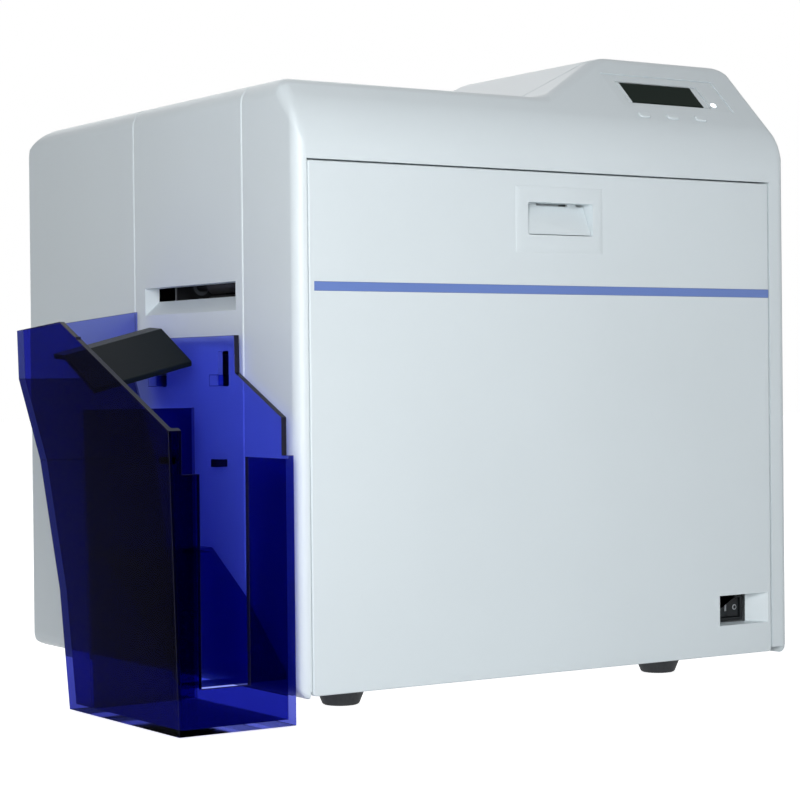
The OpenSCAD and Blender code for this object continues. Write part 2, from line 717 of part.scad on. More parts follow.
// Space of the stacker, set in by g: its outer side leans in towards the foot
module stacker_form(g) {
    intersection() {
        along_x(stack_x0, stack_x1) polygon([[stack_y0 + g, 1 + g], [part_y + 25 - g, 1 + g],
            [part_y + 32 - g, foot_h + 54], [part_y + 51 - g, foot_h + 124], [stack_y1 - g, foot_h + 169],
            [stack_y1 - g, 230], [stack_y0 + g, 230]]);
        along_y(stack_y0, stack_y1) polygon([[stack_x0 + stack_draft + g, 1 + g], [stack_x1 - g, 1 + g],
            [stack_x1 - g, 230], [stack_x0 + g, 230], [stack_x0 + g, foot_h + 199.5]]);
    }
}
module stacker_bin() {
    t = stacker_t;
    color(stack_blue) at_body() {
        intersection() {
            difference() {
                stacker_form(0);
                stacker_form(t);
            }
            union() {
                along_x(stack_x0 - 1, stack_x0 + stack_draft + t) polygon([[stack_y0, 0], [stack_y1, 0],
                    [stack_y1, foot_h + 196], [part_y + 20, foot_h + 199.5], [stack_y0, foot_h + 142]]);
                along_x(stack_x1 - t, stack_x1) polygon([[stack_y0, 0], [stack_y1, 0],
                        [stack_y1, foot_h + 191],
                    [part_y - 45.5, foot_h + 191], [part_y - 46, foot_h + 171], [2, foot_h + 147.5],
                    [2, foot_h + 128], [stack_y0, foot_h + 128]]);
                along_y(stack_y1 - t, stack_y1) polygon([[stack_x0, 0], [stack_x1, 0], [stack_x1, foot_h + 207],
                    [stack_x0, foot_h + 196]]);
                along_y(stack_y0, stack_y0 + t) polygon([[stack_x0, 0], [stack_x1, 0],
                        [stack_x1, foot_h + 126],
                    [stack_x1 - 27, foot_h + 128], [stack_x1 - 27, foot_h + 12],
                            [stack_x0 + 19, foot_h + 12],
                    [stack_x0 + 19, foot_h + 120], [stack_x0, foot_h + 120]]);
                box([stack_x0, part_y, 0], [stack_x1, stack_y1, foot_h + 191]);
                box([stack_x0, stack_y0, 0], [stack_x1, part_y + 37, 1 + t]);
            }
        }
        intersection() {
            stacker_form(1);
            box([stack_x0, part_y, 1], [stack_x1, part_y + t, foot_h + 152]);
        }
        for (y = hook_ys)
            along_y(y - hook_w / 2, y + hook_w / 2) polygon([[stack_x1 - 1, hook_z], [wall + fit, hook_z],
                [wall + fit, hook_z - 10], [wall + fit + 2, hook_z - 10], [wall + fit + 2, hook_z + 6],
                [stack_x1 - 1, hook_z + 6]]);
        for (y = [hook_ys[0], hook_ys[1] - 12])
            box([stack_x1 - 1, y - 4, foot_h + 120], [-fit, y + 4, foot_h + 124]);
    }
}
// Card ramp: rises from the foot of the bin to a shelf in front of the partition
module stacker_ramp() {
    t = stacker_t;
    color([0.12, 0.13, 0.60, 0.8]) at_body() intersection() {
        stacker_form(t + fit);
        along_x(stack_x0, stack_x1) polygon([[stack_y0 + t + 0.5, foot_h + 16], [40, foot_h + 53],
            [part_y - 20, foot_h + 76.5], [part_y - fit, foot_h + 76.5], [part_y - fit, foot_h + 73.5],
            [part_y - 19, foot_h + 73.5], [41.5, foot_h + 50], [stack_y0 + t + 0.5, foot_h + 12.5]]);
    }
}
module stacker_guide() {
    y0 = part_y + 1;
    z0 = foot_h + 175;
    l = stacker_w - 13;
    color(dark_grey) at_body() translate([stack_x1 - stacker_t - fit, 0, z0]) rotate([0, -14, 0])
        along_x(-l, 0) polygon([[y0, 0], [y0 + 26, 19], [y0 + 39, 20], [y0 + 39, 23], [y0 + 25, 22],
            [y0 - 1, 3]]);
}

module frame_plate(y0, y1) {
    difference() {
        union() {
            along_y(y0, y1) polygon(round_box(frame_x0, pan_z, frame_x1, frame_z1, [4, 4, 6, 6]));
            box([frame_x0 + 10, y1 < card_y ? y1 : y0 - 12, pan_z],
                    [switch_x - 30, y1 < card_y ? y1 + 12 : y0, pan_z + 2]);
        }
        for (s = shaft_at)
            rod_y(s[0], s[1], bush_r, y0 - 1, y1 + 1);
        for (s = rod_at)
            rod_y(s[0], s[1], rod_end_r, y0 - 1, y1 + 1);
    }
}
module front_plate() {
    color(steel_grey) at_body() difference() {
        frame_plate(frame_y0, frame_in0);
        for (x = [film_x, ribbon_x])
            box([x - cassette_w / 2 - 1, frame_y0 - 1, cassette_z0 - 1],
                [x + cassette_w / 2 + 1, frame_in0 + 1, cassette_z1 + 1]);
    }
}
module rear_plate() {
    color(steel_grey) at_body() difference() {
        frame_plate(frame_y1, frame_back);
        for (z = [card_z + gear_gap, platen_z - gear_gap])
            rod_y(z > card_z ? flip_x : platen_x, z, pinion_shaft_r + 0.5, frame_y1 - 1, frame_back + 1);
        for (x = [film_x, ribbon_x])
            rod_y(x, takeup_z, pinion_shaft_r + 0.5, frame_y1 - 1, frame_back + 1);
    }
}
module spacer_rods() {
    color(steel_grey) at_body() for (s = rod_at) {
        rod_y(s[0], s[1], rod_r, frame_in0, frame_y1);
        rod_y(s[0], s[1], rod_end_r, frame_y0 - 0.5, frame_back + 0.5);
        rod_y(s[0], s[1], rod_r, frame_y0 - 2, frame_y0);
        rod_y(s[0], s[1], rod_r, frame_back, frame_back + 2);
    }
}
module shaft_bushes() {
    color([0.85, 0.82, 0.70]) at_body() for (s = shaft_at, y = [frame_y0, frame_y1]) difference() {
        union() {
            rod_y(s[0], s[1], bush_r, y, y + frame_t);
            rod_y(s[0], s[1], bush_r + 0.5, y < card_y ? y - bush_flange : y + frame_t,
                    y < card_y ? y : y + frame_t + bush_flange);
        }
        rod_y(s[0], s[1], shaft_r + run, y - 3, y + frame_t + 3);
    }
}

module card_hopper() {
    y0 = card_y - card_wd / 2 - 0.4;
    y1 = card_y + card_wd / 2 + 0.4;
    t = hopper_t;
    color(dark_grey) at_body() difference() {
        union() {
            box([hopper_x0 - t, y0 - t, hopper_z0 - t], [hopper_x1 + t, y1 + t, hopper_z1]);
            box([hopper_x0 + 10, frame_in0, hopper_z0 - t], [frame_x1 - 10, frame_y1, hopper_z0]);
        }
        box([hopper_x0, y0, hopper_z0], [hopper_x1, y1, hopper_z1 + 1]);
        box([hopper_x0 - t - 1, y0, hopper_z0], [hopper_x0 + 1, y1, hopper_z0 + 1.2]);
        box([hopper_x0 + 26, y0 - t - 1, hopper_z0 + 14], [hopper_x1 - 26, y0 + 1, hopper_z1 + 1]);
        box([pick_x - feed_r - 3, card_y - 24, hopper_z0 - t - 1],
                [pick_x + feed_r + 3, card_y + 24, hopper_z0 + 1]);
    }
}
module card_weight() {
    y0 = card_y - card_wd / 2;
    color(steel_grey) at_body() {
        box([hopper_x0 + 0.6, y0, hopper_z0 + fit], [hopper_x1 - 0.6, y0 + card_wd, hopper_z0 + 4]);
        for (x = [hopper_x0 + 12, hopper_x1 - 15])
            box([x, y0 + 4, hopper_z0 + 4], [x + 3, y0 + card_wd - 4, hopper_z0 + 9]);
        translate([pick_x, card_y, hopper_z0 + 4]) cylinder(r = 5, h = 12, $fn = 48);
        translate([pick_x, card_y, hopper_z0 + 16]) cylinder(r = 9, h = 5, $fn = 48);
    }
}
// Steel shaft of a roller
module shaft(x, z, y0, y1) {
    color(steel_grey)
        rod_y(x, z, shaft_r, y0, y1);
}
module pick_roller() {
    at_body() {
        shaft(pick_x, low_z, frame_y0 - 3, belt_y0 - 1);
        color(rubber_black) for (y = [card_y - 20, card_y + 10])
            rod_y(pick_x, low_z, feed_r - 0.3, y, y + 10);
        color(dark_grey)
            rod_y(pick_x, low_z, pulley_r, belt_y0 - 1, belt_y0 + belt_w + 1);
    }
}
module feed_roller() {
    at_body() {
        shaft(feed_x, low_z, frame_y0 - 3, motor_face + 5);
        color(rubber_black)
            rod_y(feed_x, low_z, feed_r, card_y - tube_half, card_y + tube_half);
        color(dark_grey)
            rod_y(feed_x, low_z, pulley_r, belt_y0 - 1, belt_y0 + belt_w + 1);
    }
}
module plain_roller(x, z, r) {
    at_body() {
        shaft(x, z, frame_y0 - 3, frame_back + 3);
        color(rubber_black)
            rod_y(x, z, r, card_y - tube_half, card_y + tube_half);
    }
}
module pinch_roller() {
    plain_roller(feed_x, pinch_z, pinch_r);
}
module cleaning_roller() {
    plain_roller(clean_x, clean_z, clean_r);
}
module heat_roller() {
    plain_roller(heat_x, heat_z, heat_r);
}
module backup_roller() {
    plain_roller(heat_x, backup_z, backup_r);
}
module exit_pinch_roller() {
    plain_roller(exit_x, pinch_z, pinch_r);
}
module exit_roller() {
    at_body() {
        shaft(exit_x, low_z, frame_y0 - 3, belt_y0 - 1);
        color(rubber_black)
            rod_y(exit_x, low_z, feed_r, card_y - tube_half, card_y + tube_half);
        color(dark_grey)
            rod_y(exit_x, low_z, pulley_r, belt_y0 - 1, belt_y0 + belt_w + 1);
    }
}
module card_guides() {
    z0 = card_z - path_gap - 1.8;
    z1 = card_z - path_gap;
    color(dark_grey) at_body() for (g = [[exit_x + 8, flip_x - flip_r - 1],
            [flip_x + flip_r + 1, hopper_x0 - 3]]) {
        for (y = [[frame_in0, card_y - rail_in], [card_y + rail_in, frame_y1]])
            difference() {
                box([g[0], y[0], z0], [g[1], y[1], z1 + 2]);
                for (x = [exit_x, heat_x, feed_x])
                    box([x - 6, y[0] - 1, z0 - 1], [x + 6, y[1] + 1, card_z - path_gap - 1.2]);
            }
    }
    color(dark_grey) at_body() for (g = [[exit_x + 8, heat_x - 13], [heat_x + 13, flip_x - flip_r - 1],
            [flip_x + flip_r + 1, feed_x - 8], [feed_x + 8, hopper_x0 - 3]])
        box([g[0], card_y - rail_in, z0], [g[1], card_y + rail_in, z1]);
}

// Involute outline of a spur gear, its flanks thinned a little for backlash
function involute(rb, t) = [rb * (cos(t) + t * PI / 180 * sin(t)), rb * (sin(t) - t * PI / 180 * cos(t))];
function turn(p, a) = [p[0] * cos(a) - p[1] * sin(a), p[0] * sin(a) + p[1] * cos(a)];
function spur(teeth, m, n = 4) = let (rp = m * teeth / 2, rb = rp * cos(20), ra = rp + 0.8 * m,
    rf = rp - 1.15 * m, t1 = sqrt(pow(ra / rb, 2) - 1) * 180 / PI,
    t0 = rf > rb ? sqrt(pow(rf / rb, 2) - 1) * 180 / PI : 0,
    half = 90 / teeth - 2.4 * m / rp + (tan(20) * 180 / PI - 20))
    [for (i = [0:teeth - 1]) each concat(
        [turn([min(rf, rb), 0], 360 * i / teeth - half - 0.01)],
        [for (j = [0:n]) turn(involute(rb, t0 + (t1 - t0) * j / n), 360 * i / teeth - half)],
        [for (j = [n:-1:0]) let (p = involute(rb, t0 + (t1 - t0) * j / n))
            turn([p[0], -p[1]], 360 * i / teeth + half)],
        [turn([min(rf, rb), 0], 360 * i / teeth + half + 0.01)])];
module gear_at(x, z, teeth, a, y0, y1) {
    translate([x, y1, z]) rotate([90, 0, 0]) linear_extrude(y1 - y0) rotate(a) polygon(spur(teeth, gear_m));
}
module flipper() {
    y0 = card_y - disc_out;
    y1 = card_y + disc_out;
    color(dark_grey) at_body() {
        difference() {
            for (y = [y0, y1 - disc_t])
                rod_y(flip_x, card_z, flip_r, y, y + disc_t);
            for (z = [card_z - path_gap - flip_roller_r, card_z + path_gap + flip_roller_r])
                rod_y(flip_x, z, 2.5 + run, y0 - 1, y1 + 1);
        }
        for (x = [flip_x - 21, flip_x + 8], z = [card_z + 0.9, card_z - 2.9])
            box([x, y0 + disc_t, z], [x + 13, y1 - disc_t, z + 2]);
        rod_y(flip_x, card_z, shaft_r, frame_y0 - 3, y0);
        rod_y(flip_x, card_z, shaft_r, y1 + 2, frame_back + 3);
        rod_y(flip_x, card_z, 12, y1 + 0.9, gear_y0 + 0.5);
        difference() {
            rod_y(flip_x, card_z, 14, y1, y1 + 1);
            rod_y(flip_x, card_z, 9, y1 - 1, y1 + 0.9);
        }
        gear_at(flip_x, card_z, gear_teeth, 0, gear_y0, gear_y0 + gear_t);
    }
}
module flip_roller(z) {
    at_body() {
        color(steel_grey)
            rod_y(flip_x, z, 2.5, card_y - disc_out + 0.1, card_y + disc_out - 0.1);
        color(rubber_black)
            rod_y(flip_x, z, flip_roller_r, card_y - tube_half, card_y + tube_half);
    }
}
module flipper_drive_roller() {
    flip_roller(card_z - path_gap - flip_roller_r);
}
module flipper_idle_roller() {
    flip_roller(card_z + path_gap + flip_roller_r);
}
module pinion(x, z) {
    at_body() {
        color([0.85, 0.82, 0.70])
            gear_at(x, z, pinion_teeth, 180 / pinion_teeth, gear_y0, gear_y0 + gear_t);
        color(steel_grey)
            rod_y(x, z, pinion_shaft_r, gear_y0 - 0.5, frame_back + 5);
    }
}
module flipper_pinion() {
    pinion(flip_x, card_z + gear_gap);
}
module platen_pinion() {
    pinion(platen_x, platen_z - gear_gap);
}
module platen_roller() {
    at_body() {
        shaft(platen_x, platen_z, frame_y0 - 3, frame_back + 3);
        color(rubber_black)
            rod_y(platen_x, platen_z, platen_r, card_y - tube_half, card_y + tube_half);
        color([0.85, 0.82, 0.70])
            gear_at(platen_x, platen_z, gear_teeth, 0, gear_y0, gear_y0 + gear_t);
    }
}
// Print head: a ceramic strip on a finned block, on two arms that swing about their rod
module print_head() {
    x0 = platen_x + platen_r + 0.8;
    y0 = card_y - tube_half - 4;
    y1 = card_y + tube_half + 4;
    at_body() {
        color(dark_grey)
            box([x0, card_y - tube_half, platen_z - 7], [x0 + 2, card_y + tube_half, platen_z + 9]);
        color(steel_grey)
            box([x0 + 2, card_y - tube_half, platen_z - 9], [x0 + 5, card_y + tube_half, platen_z + 12]);
        color(steel_grey) for (i = [0:5])
            box([x0 + 5, card_y - tube_half, platen_z - 9 + 4 * i],
                    [x0 + 14, card_y + tube_half, platen_z - 7.5 + 4 * i]);
        color(steel_grey) for (y = [y0, y1 - 2])
            difference() {
                along_y(y, y + 2) polygon([[x0 + 1, platen_z - 9], [x0 + 15, platen_z - 9],
                        [head_pin_x + 7, head_pin_z - 6],
                    [head_pin_x + 7, head_pin_z + 7], [head_pin_x - 7, head_pin_z + 7],
                            [x0 + 2, platen_z + 12]]);
                rod_y(head_pin_x, head_pin_z, rod_r + run, y - 1, y + 3);
            }
        color(steel_grey) for (y = [[y0 + 2, card_y - tube_half], [card_y + tube_half, y1 - 2]])
            box([x0 + 2, y[0], platen_z - 9], [x0 + 5, y[1], platen_z + 12]);
    }
}

module cassette(x) {
    w = cassette_w / 2;
    y1 = frame_y0 - fit;
    color([0.30, 0.32, 0.35]) at_body() difference() {
        union() {
            box([x - w - 3, y1 - 4, cassette_z0 - 3], [x + w + 3, y1, cassette_z1 + 3]);
            box([x - 14, y1 - 5.5, supply_z - 52], [x + 14, y1 - 4, supply_z - 44]);
            box([x - w, frame_y1 - 3.3, cassette_z0], [x + w, frame_y1 - fit, cassette_z1]);
            for (s = [-1, 1], z = [cassette_z0, cassette_z1 - 4])
                box([x + s * (w - 2) - 2, y1 - 1, z], [x + s * (w - 2) + 2, frame_y1 - 3, z + 4]);
            for (z = [supply_z, takeup_z])
                box([x - w, y1 - 1, z - 2], [x - w + 1.5, frame_y1 - 3, z + 2]);
        }
        for (z = [supply_z, takeup_z])
            rod_y(x, z, journal_r + run, y1 - 9, frame_y1 + 1);
    }
}
module spool(x, z, r, drive) {
    y0 = frame_y0 - 5;
    at_body() {
        color([0.85, 0.85, 0.82])
            rod_y(x, z, spool_core_r, frame_in0 + 2, frame_y1 - 5);
        color([0.85, 0.85, 0.82])
            rod_y(x, z, journal_r, y0, frame_y1 - 0.5);
        color(dark_grey)
            rod_y(x, z, r, card_y - tube_half, card_y + tube_half);
        if (drive)
            color(steel_grey)
                rod_y(x, z, pinion_shaft_r, frame_y1 - 0.2, frame_back + 5);
    }
}
module ribbon_cassette() {
    cassette(ribbon_x);
}
module ribbon_supply() {
    spool(ribbon_x, supply_z, 22, false);
}
module ribbon_takeup() {
    spool(ribbon_x, takeup_z, 18, true);
}
module film_cassette() {
    cassette(film_x);
}
module film_supply() {
    spool(film_x, supply_z, 26, false);
}
module film_takeup() {
    spool(film_x, takeup_z, 20, true);
}
module motor(x, z, r, y0, l, shaft_r) {
    difference() {
        union() {
            rod_y(x, z, r, y0, y0 + l);
            box([x - r, y0, z - r], [x + r, y0 + 3, z + r]);
        }
        rod_y(x, z, shaft_r + run, y0 - 1, y0 + 8);
    }
}
module drive_motors() {
    color(steel_grey) at_body() {
        motor(flip_x, card_z + gear_gap, motor_r, frame_back, motor_l, pinion_shaft_r);
        motor(platen_x, platen_z - gear_gap, motor_r, frame_back, motor_l, pinion_shaft_r);
        motor(feed_x, low_z, motor_r, motor_face, motor_l, shaft_r);
        for (x = [film_x, ribbon_x])
            motor(x, takeup_z, 14, frame_back, 22, pinion_shaft_r);
        for (p = [[-13, -13], [13, -13], [-13, 13]])
            rod_y(feed_x + p[0], low_z + p[1], 2, frame_back, motor_face);
    }
}
// Toothed belt around the pulleys of the pick, feed and exit rollers
module feed_belt() {
    r = pulley_r + fit;
    color(rubber_black) at_body() along_y(belt_y0, belt_y0 + belt_w) difference() {
        polygon(concat(arc(exit_x, low_z, r + belt_t, 90, 270, 16),
                arc(pick_x, low_z, r + belt_t, -90, 90, 16)));
        polygon(concat(arc(exit_x, low_z, r, 90, 270, 16), arc(pick_x, low_z, r, -90, 90, 16)));
    }
}

module main_board() {
    z = pan_z + 8;
    color([0.10, 0.35, 0.18]) at_body() {
        box([20, frame_back + 30, z], [frame_x0 + 140, body_d - 30, z + 1.6]);
        for (x = [26, frame_x0 + 134], y = [frame_back + 36, body_d - 36])
            translate([x, y, pan_z]) cylinder(r = 3, h = 8, $fn = 32);
    }
    color(dark_grey) at_body() {
        for (c = [[40, 210, 24, 3], [84, 216, 30, 3], [50, 262, 16, 8], [96, 266, 36, 10]])
            box([c[0], c[1], z + 1.6], [c[0] + c[2], c[1] + c[2] * 0.7, z + 1.6 + c[3]]);
    }
}
module power_supply() {
    color(steel_grey) at_body() difference() {
        box([body_w - 150, frame_back + 34, pan_z], [body_w - 20, body_d - 32, foot_h + 68]);
        for (i = [0:11])
            box([body_w - 142 + 10 * i, frame_back + 44, foot_h + 60],
                    [body_w - 138 + 10 * i, body_d - 44, foot_h + 70]);
    }
}
module rear_sockets() {
    y1 = body_d - port_in;
    color(dark_grey) at_body() {
        difference() {
            union() {
                box([inlet_x - inlet_w / 2 + 0.2, y1 - 22, inlet_z - inlet_h / 2 + 0.2],
                    [inlet_x + inlet_w / 2 - 0.2, y1 + 1, inlet_z + inlet_h / 2 - 0.2]);
                box([inlet_x - inlet_w / 2 - 2, y1, inlet_z - inlet_h / 2 - 2],
                    [inlet_x + inlet_w / 2 + 2, y1 + 1.3, inlet_z + inlet_h / 2 + 2]);
            }
            box([inlet_x - inlet_w / 2 + 2, y1 - 17, inlet_z - inlet_h / 2 + 2],
                [inlet_x + inlet_w / 2 - 2, y1 + 2, inlet_z + inlet_h / 2 - 2]);
        }
        for (p = [[-7, -1], [0, 2], [7, -1]])
            box([inlet_x + p[0] - 1, y1 - 18, inlet_z + p[1] - 2],
                    [inlet_x + p[0] + 1, y1 - 5, inlet_z + p[1] + 2]);
    }
    color(steel_grey) at_body() for (s = [[usb_x, 6, 5.4], [net_x, 8, 6.8]]) difference() {
        box([s[0] - s[1], y1 - 16, inlet_z - s[2]], [s[0] + s[1], y1 + 0.8, inlet_z + s[2]]);
        box([s[0] - s[1] + 1, y1 - 12, inlet_z - s[2] + 1], [s[0] + s[1] - 1, y1 + 2, inlet_z + s[2] - 1]);
    }
}
module fan_frame() {
    h = fan_size / 2;
    color(dark_grey) at_body() {
        difference() {
            along_y(fan_y1 - fan_t, fan_y1) polygon(round_box(fan_x - h, fan_z - h, fan_x + h,
                    fan_z + h, [4, 4, 4, 4]));
            rod_y(fan_x, fan_z, h - 2, fan_y1 - fan_t - 1, fan_y1 + 1);
            for (x = [fan_x - h + 4.5, fan_x + h - 4.5], z = [fan_z - h + 4.5, fan_z + h - 4.5])
                rod_y(x, z, 2.2, fan_y1 - fan_t - 1, fan_y1 + 1);
        }
        rod_y(fan_x, fan_z, 14, fan_y1 - 3, fan_y1);
        rod_y(fan_x, fan_z, 2, fan_y1 - 18, fan_y1 - 2);
        for (a = [0:90:270])
            translate([fan_x, fan_y1 - 3, fan_z]) rotate([0, a, 0]) box([12, 0, -1.5], [h - 1.5, 3, 1.5]);
    }
}
module fan_rotor() {
    h = fan_size / 2;
    color(dark_grey) at_body() {
        difference() {
            rod_y(fan_x, fan_z, 16, fan_y1 - fan_t + 1, fan_y1 - 3.5);
            rod_y(fan_x, fan_z, 2 + run, fan_y1 - 19, fan_y1);
        }
        difference() {
            for (i = [0:6])
                translate([fan_x, fan_y1 - 14, fan_z]) rotate([0, 360 / 7 * i, 0])
                    translate([15, 0, 0]) rotate([35, 0, 0]) box([0, -8, -1], [h - 18, 8, 1]);
            rod_y(fan_x, fan_z, 15.5, fan_y1 - fan_t, fan_y1);
        }
    }
}

base_pan();
rubber_feet();
case_screws();
front_shell();
middle_shell();
rear_shell();
connector_panel();
front_door();
door_stripe();
hinge_pins();
latch_bezel();
latch_paddle();
hopper_lid();
display_bezel();
display_window();
panel_board();
button_left();
button_middle();
button_right();
status_lamp();
switch_housing();
power_rocker();
stacker_bin();
stacker_ramp();
stacker_guide();
front_plate();
rear_plate();
spacer_rods();
shaft_bushes();
card_hopper();
card_weight();
pick_roller();
feed_roller();
pinch_roller();
cleaning_roller();
card_guides();
flipper();
flipper_drive_roller();
flipper_idle_roller();
heat_roller();
backup_roller();
exit_roller();
exit_pinch_roller();
platen_roller();
print_head();
ribbon_cassette();
ribbon_supply();
ribbon_takeup();
film_cassette();
film_supply();
film_takeup();
drive_motors();
flipper_pinion();
platen_pinion();
feed_belt();
main_board();
power_supply();
rear_sockets();
fan_frame();
fan_rotor();
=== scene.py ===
"""Looks of a desktop ID card printer, modelled round its packed construction.

Lengths are metres in the object's own frame: X to the right along the front, Y to the rear, Z up.
The numbers given in millimetres are measured from the enclosure's left side, its front face and
the desk.
"""

import json
import math

import bmesh
import bpy
from mathutils import Euler, Matrix, Vector


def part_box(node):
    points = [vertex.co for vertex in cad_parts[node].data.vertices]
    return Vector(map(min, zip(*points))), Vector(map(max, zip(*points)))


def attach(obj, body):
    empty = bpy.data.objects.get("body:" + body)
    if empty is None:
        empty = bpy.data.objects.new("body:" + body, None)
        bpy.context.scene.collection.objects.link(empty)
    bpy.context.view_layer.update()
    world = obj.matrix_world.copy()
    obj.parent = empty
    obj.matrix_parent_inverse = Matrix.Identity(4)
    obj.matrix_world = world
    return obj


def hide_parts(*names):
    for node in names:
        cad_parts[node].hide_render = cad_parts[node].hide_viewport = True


bl_info = {
    "name": "Card printer",
    "version": (1, 0, 0),
    "blender": (4, 5, 0),
    "location": "3D View > Sidebar > Card printer",
    "description": "Models the shells, controls, stacker and works of a desktop card printer",
    "category": "Add Mesh",
}

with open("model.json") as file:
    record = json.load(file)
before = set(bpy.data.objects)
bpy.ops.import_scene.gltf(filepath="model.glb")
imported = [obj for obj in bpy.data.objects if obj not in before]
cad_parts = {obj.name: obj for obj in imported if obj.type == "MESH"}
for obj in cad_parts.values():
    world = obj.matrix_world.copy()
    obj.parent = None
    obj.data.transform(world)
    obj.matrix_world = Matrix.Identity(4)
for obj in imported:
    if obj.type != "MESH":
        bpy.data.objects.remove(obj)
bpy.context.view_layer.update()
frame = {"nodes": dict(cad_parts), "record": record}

MM = 0.001
LEAST = 0.00001  # the shortest edge that a clean mesh keeps
ACROSS = 0.9  # the least part of a unit direction along an axis that counts as along it
SHARP = 35  # the least angle in degrees of an edge that is eased
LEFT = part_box("middle_shell")[0].x
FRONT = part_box("front_shell")[0].y
WIDTH = (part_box("middle_shell")[1].x - LEFT) / MM
DEPTH = (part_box("rear_shell")[1].y - FRONT) / MM
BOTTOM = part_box("rear_shell")[0].z / MM
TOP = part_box("rear_shell")[1].z / MM
POD_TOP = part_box("hopper_lid")[1].z / MM
SEAM_1 = (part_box("front_shell")[1].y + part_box("middle_shell")[0].y) / 2 / MM - FRONT / MM
SEAM_2 = (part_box("middle_shell")[1].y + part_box("rear_shell")[0].y) / 2 / MM - FRONT / MM
WALL = 3.0
CLEAR_EDGE = 4.0 * MM  # the widest face that counts as a clear wall's edge
SLOPE_FOOT = 317.0  # height at which the lean-back slope's plane meets the front face
POD_LEFT = 179.0  # foot of the pod's slanted flank, on the shells' top
POD_EDGE = 241.0  # head of that flank, on the pod's top
HALFWAY = 100  # a height between the enclosure's bottom edges and its top edges
FOOT_EASE = 0.002  # rounding of the bottom edges at the front and the rear


# ---------------------------------------------------------------- settings


class EnclosureSettings(bpy.types.PropertyGroup):
    """Sizes of the moulded enclosure."""

    side_radius: bpy.props.FloatProperty(
        name="Side radius", description="Rounding along the top side edges", default=0.011,
        subtype="DISTANCE"
    )
    front_radius: bpy.props.FloatProperty(
        name="Corner radius", description="Rounding of the upright corners", default=0.007,
        subtype="DISTANCE"
    )
    rear_radius: bpy.props.FloatProperty(
        name="Rear radius", description="Rounding at the top of the rear", default=0.038,
        subtype="DISTANCE"
    )
    bend_radius: bpy.props.FloatProperty(
        name="Bend radius", description="Bend from the front face into the slope", default=0.04,
        subtype="DISTANCE"
    )
    foot_radius: bpy.props.FloatProperty(
        name="Foot radius", description="Rounding along the bottom side edges", default=0.009,
        subtype="DISTANCE"
    )
    seam: bpy.props.FloatProperty(
        name="Seam", description="Gap between two shells", default=0.0005, subtype="DISTANCE"
    )


class FinishSettings(bpy.types.PropertyGroup):
    """Colours of the visible finishes."""

    shell: bpy.props.FloatVectorProperty(
        name="Shell", description="Moulded enclosure", default=(0.64, 0.705, 0.735),
        subtype="COLOR", min=0, max=1
    )
    stripe: bpy.props.FloatVectorProperty(
        name="Stripe", description="Strip across the door", default=(0.115, 0.195, 0.50),
        subtype="COLOR", min=0, max=1
    )
    display: bpy.props.FloatVectorProperty(
        name="Display", description="Display window", default=(0.004, 0.011, 0.008),
        subtype="COLOR", min=0, max=1
    )
    stacker: bpy.props.FloatVectorProperty(
        name="Stacker", description="Clear plastic of the stacker", default=(0.036, 0.044, 0.33),
        subtype="COLOR", min=0, max=1
    )
    black: bpy.props.FloatVectorProperty(
        name="Black", description="Black mouldings", default=(0.009, 0.011, 0.013), subtype="COLOR",
        min=0, max=1
    )
    steel: bpy.props.FloatVectorProperty(
        name="Steel", description="Plated sheet steel", default=(0.56, 0.57, 0.58), subtype="COLOR",
        min=0, max=1
    )


class StageSettings(bpy.types.PropertyGroup):
    """Camera and light."""

    place: bpy.props.FloatVectorProperty(
        name="Camera place", description="Where the camera stands",
        default=(-0.73875, -1.17225, 0.17743),
        subtype="TRANSLATION", unit="LENGTH"
    )
    heading: bpy.props.FloatProperty(
        name="Heading", description="Turn to the right of straight ahead",
        default=math.radians(33.639), subtype="ANGLE"
    )
    pitch: bpy.props.FloatProperty(
        name="Pitch", description="Tilt above the horizon", default=math.radians(-0.469),
        subtype="ANGLE"
    )
    roll: bpy.props.FloatProperty(
        name="Roll", description="Roll of the camera", default=math.radians(-0.588), subtype="ANGLE"
    )
    lens: bpy.props.FloatProperty(
        name="Lens", description="Focal length on a 36 mm sensor", default=102.315, min=1.0,
        unit="CAMERA"
    )
    sky: bpy.props.FloatProperty(
        name="Sky", description="Strength of the soft light all round", default=0.195, min=0.0
    )
    key_power: bpy.props.FloatProperty(
        name="Key light", description="Power of the large front light", default=12.5, min=0.0,
        unit="POWER"
    )


# ---------------------------------------------------------------- bench: selecting and shaping


def at(x, y, z):
    """Point given in millimetres from the left side, the front face and the desk."""
    return Vector((LEFT + x * MM, FRONT + y * MM, z * MM))


def spot(point):
    """A point's millimetres from the left side, the front face and the desk."""
    return (point.x - LEFT) / MM, (point.y - FRONT) / MM, point.z / MM


def mids(edge):
    """Middle of an edge in the same millimetres."""
    return spot((edge.verts[0].co + edge.verts[1].co) / 2)


def pick_only(*objects):
    """Leave only these objects selected, the first of them active."""
    if bpy.context.object and bpy.context.object.mode != "OBJECT":
        bpy.ops.object.mode_set(mode="OBJECT")
    bpy.ops.object.select_all(action="DESELECT")
    for o in objects:
        o.select_set(True)
    bpy.context.view_layer.objects.active = objects[0]


def settle(piece):
    """Put the piece's place, turn and size into its mesh."""
    pick_only(piece)
    bpy.ops.object.transform_apply(location=True, rotation=True, scale=True)
    return piece


def block(name, low, high):
    """A box from its lowest to its highest corner, in millimetres."""
    a, b = at(*low), at(*high)
    bpy.ops.object.select_all(action="DESELECT")
    bpy.ops.mesh.primitive_cube_add(size=1, location=(a + b) / 2)
    piece = bpy.context.object
    piece.name = name
    piece.scale = b - a
    return settle(piece)


AXES = {"x": (0, math.pi / 2, 0), "y": (-math.pi / 2, 0, 0), "z": (0, 0, 0)}
WAYS = {"x": (1, 0, 0), "y": (0, 1, 0), "z": (0, 0, 1)}


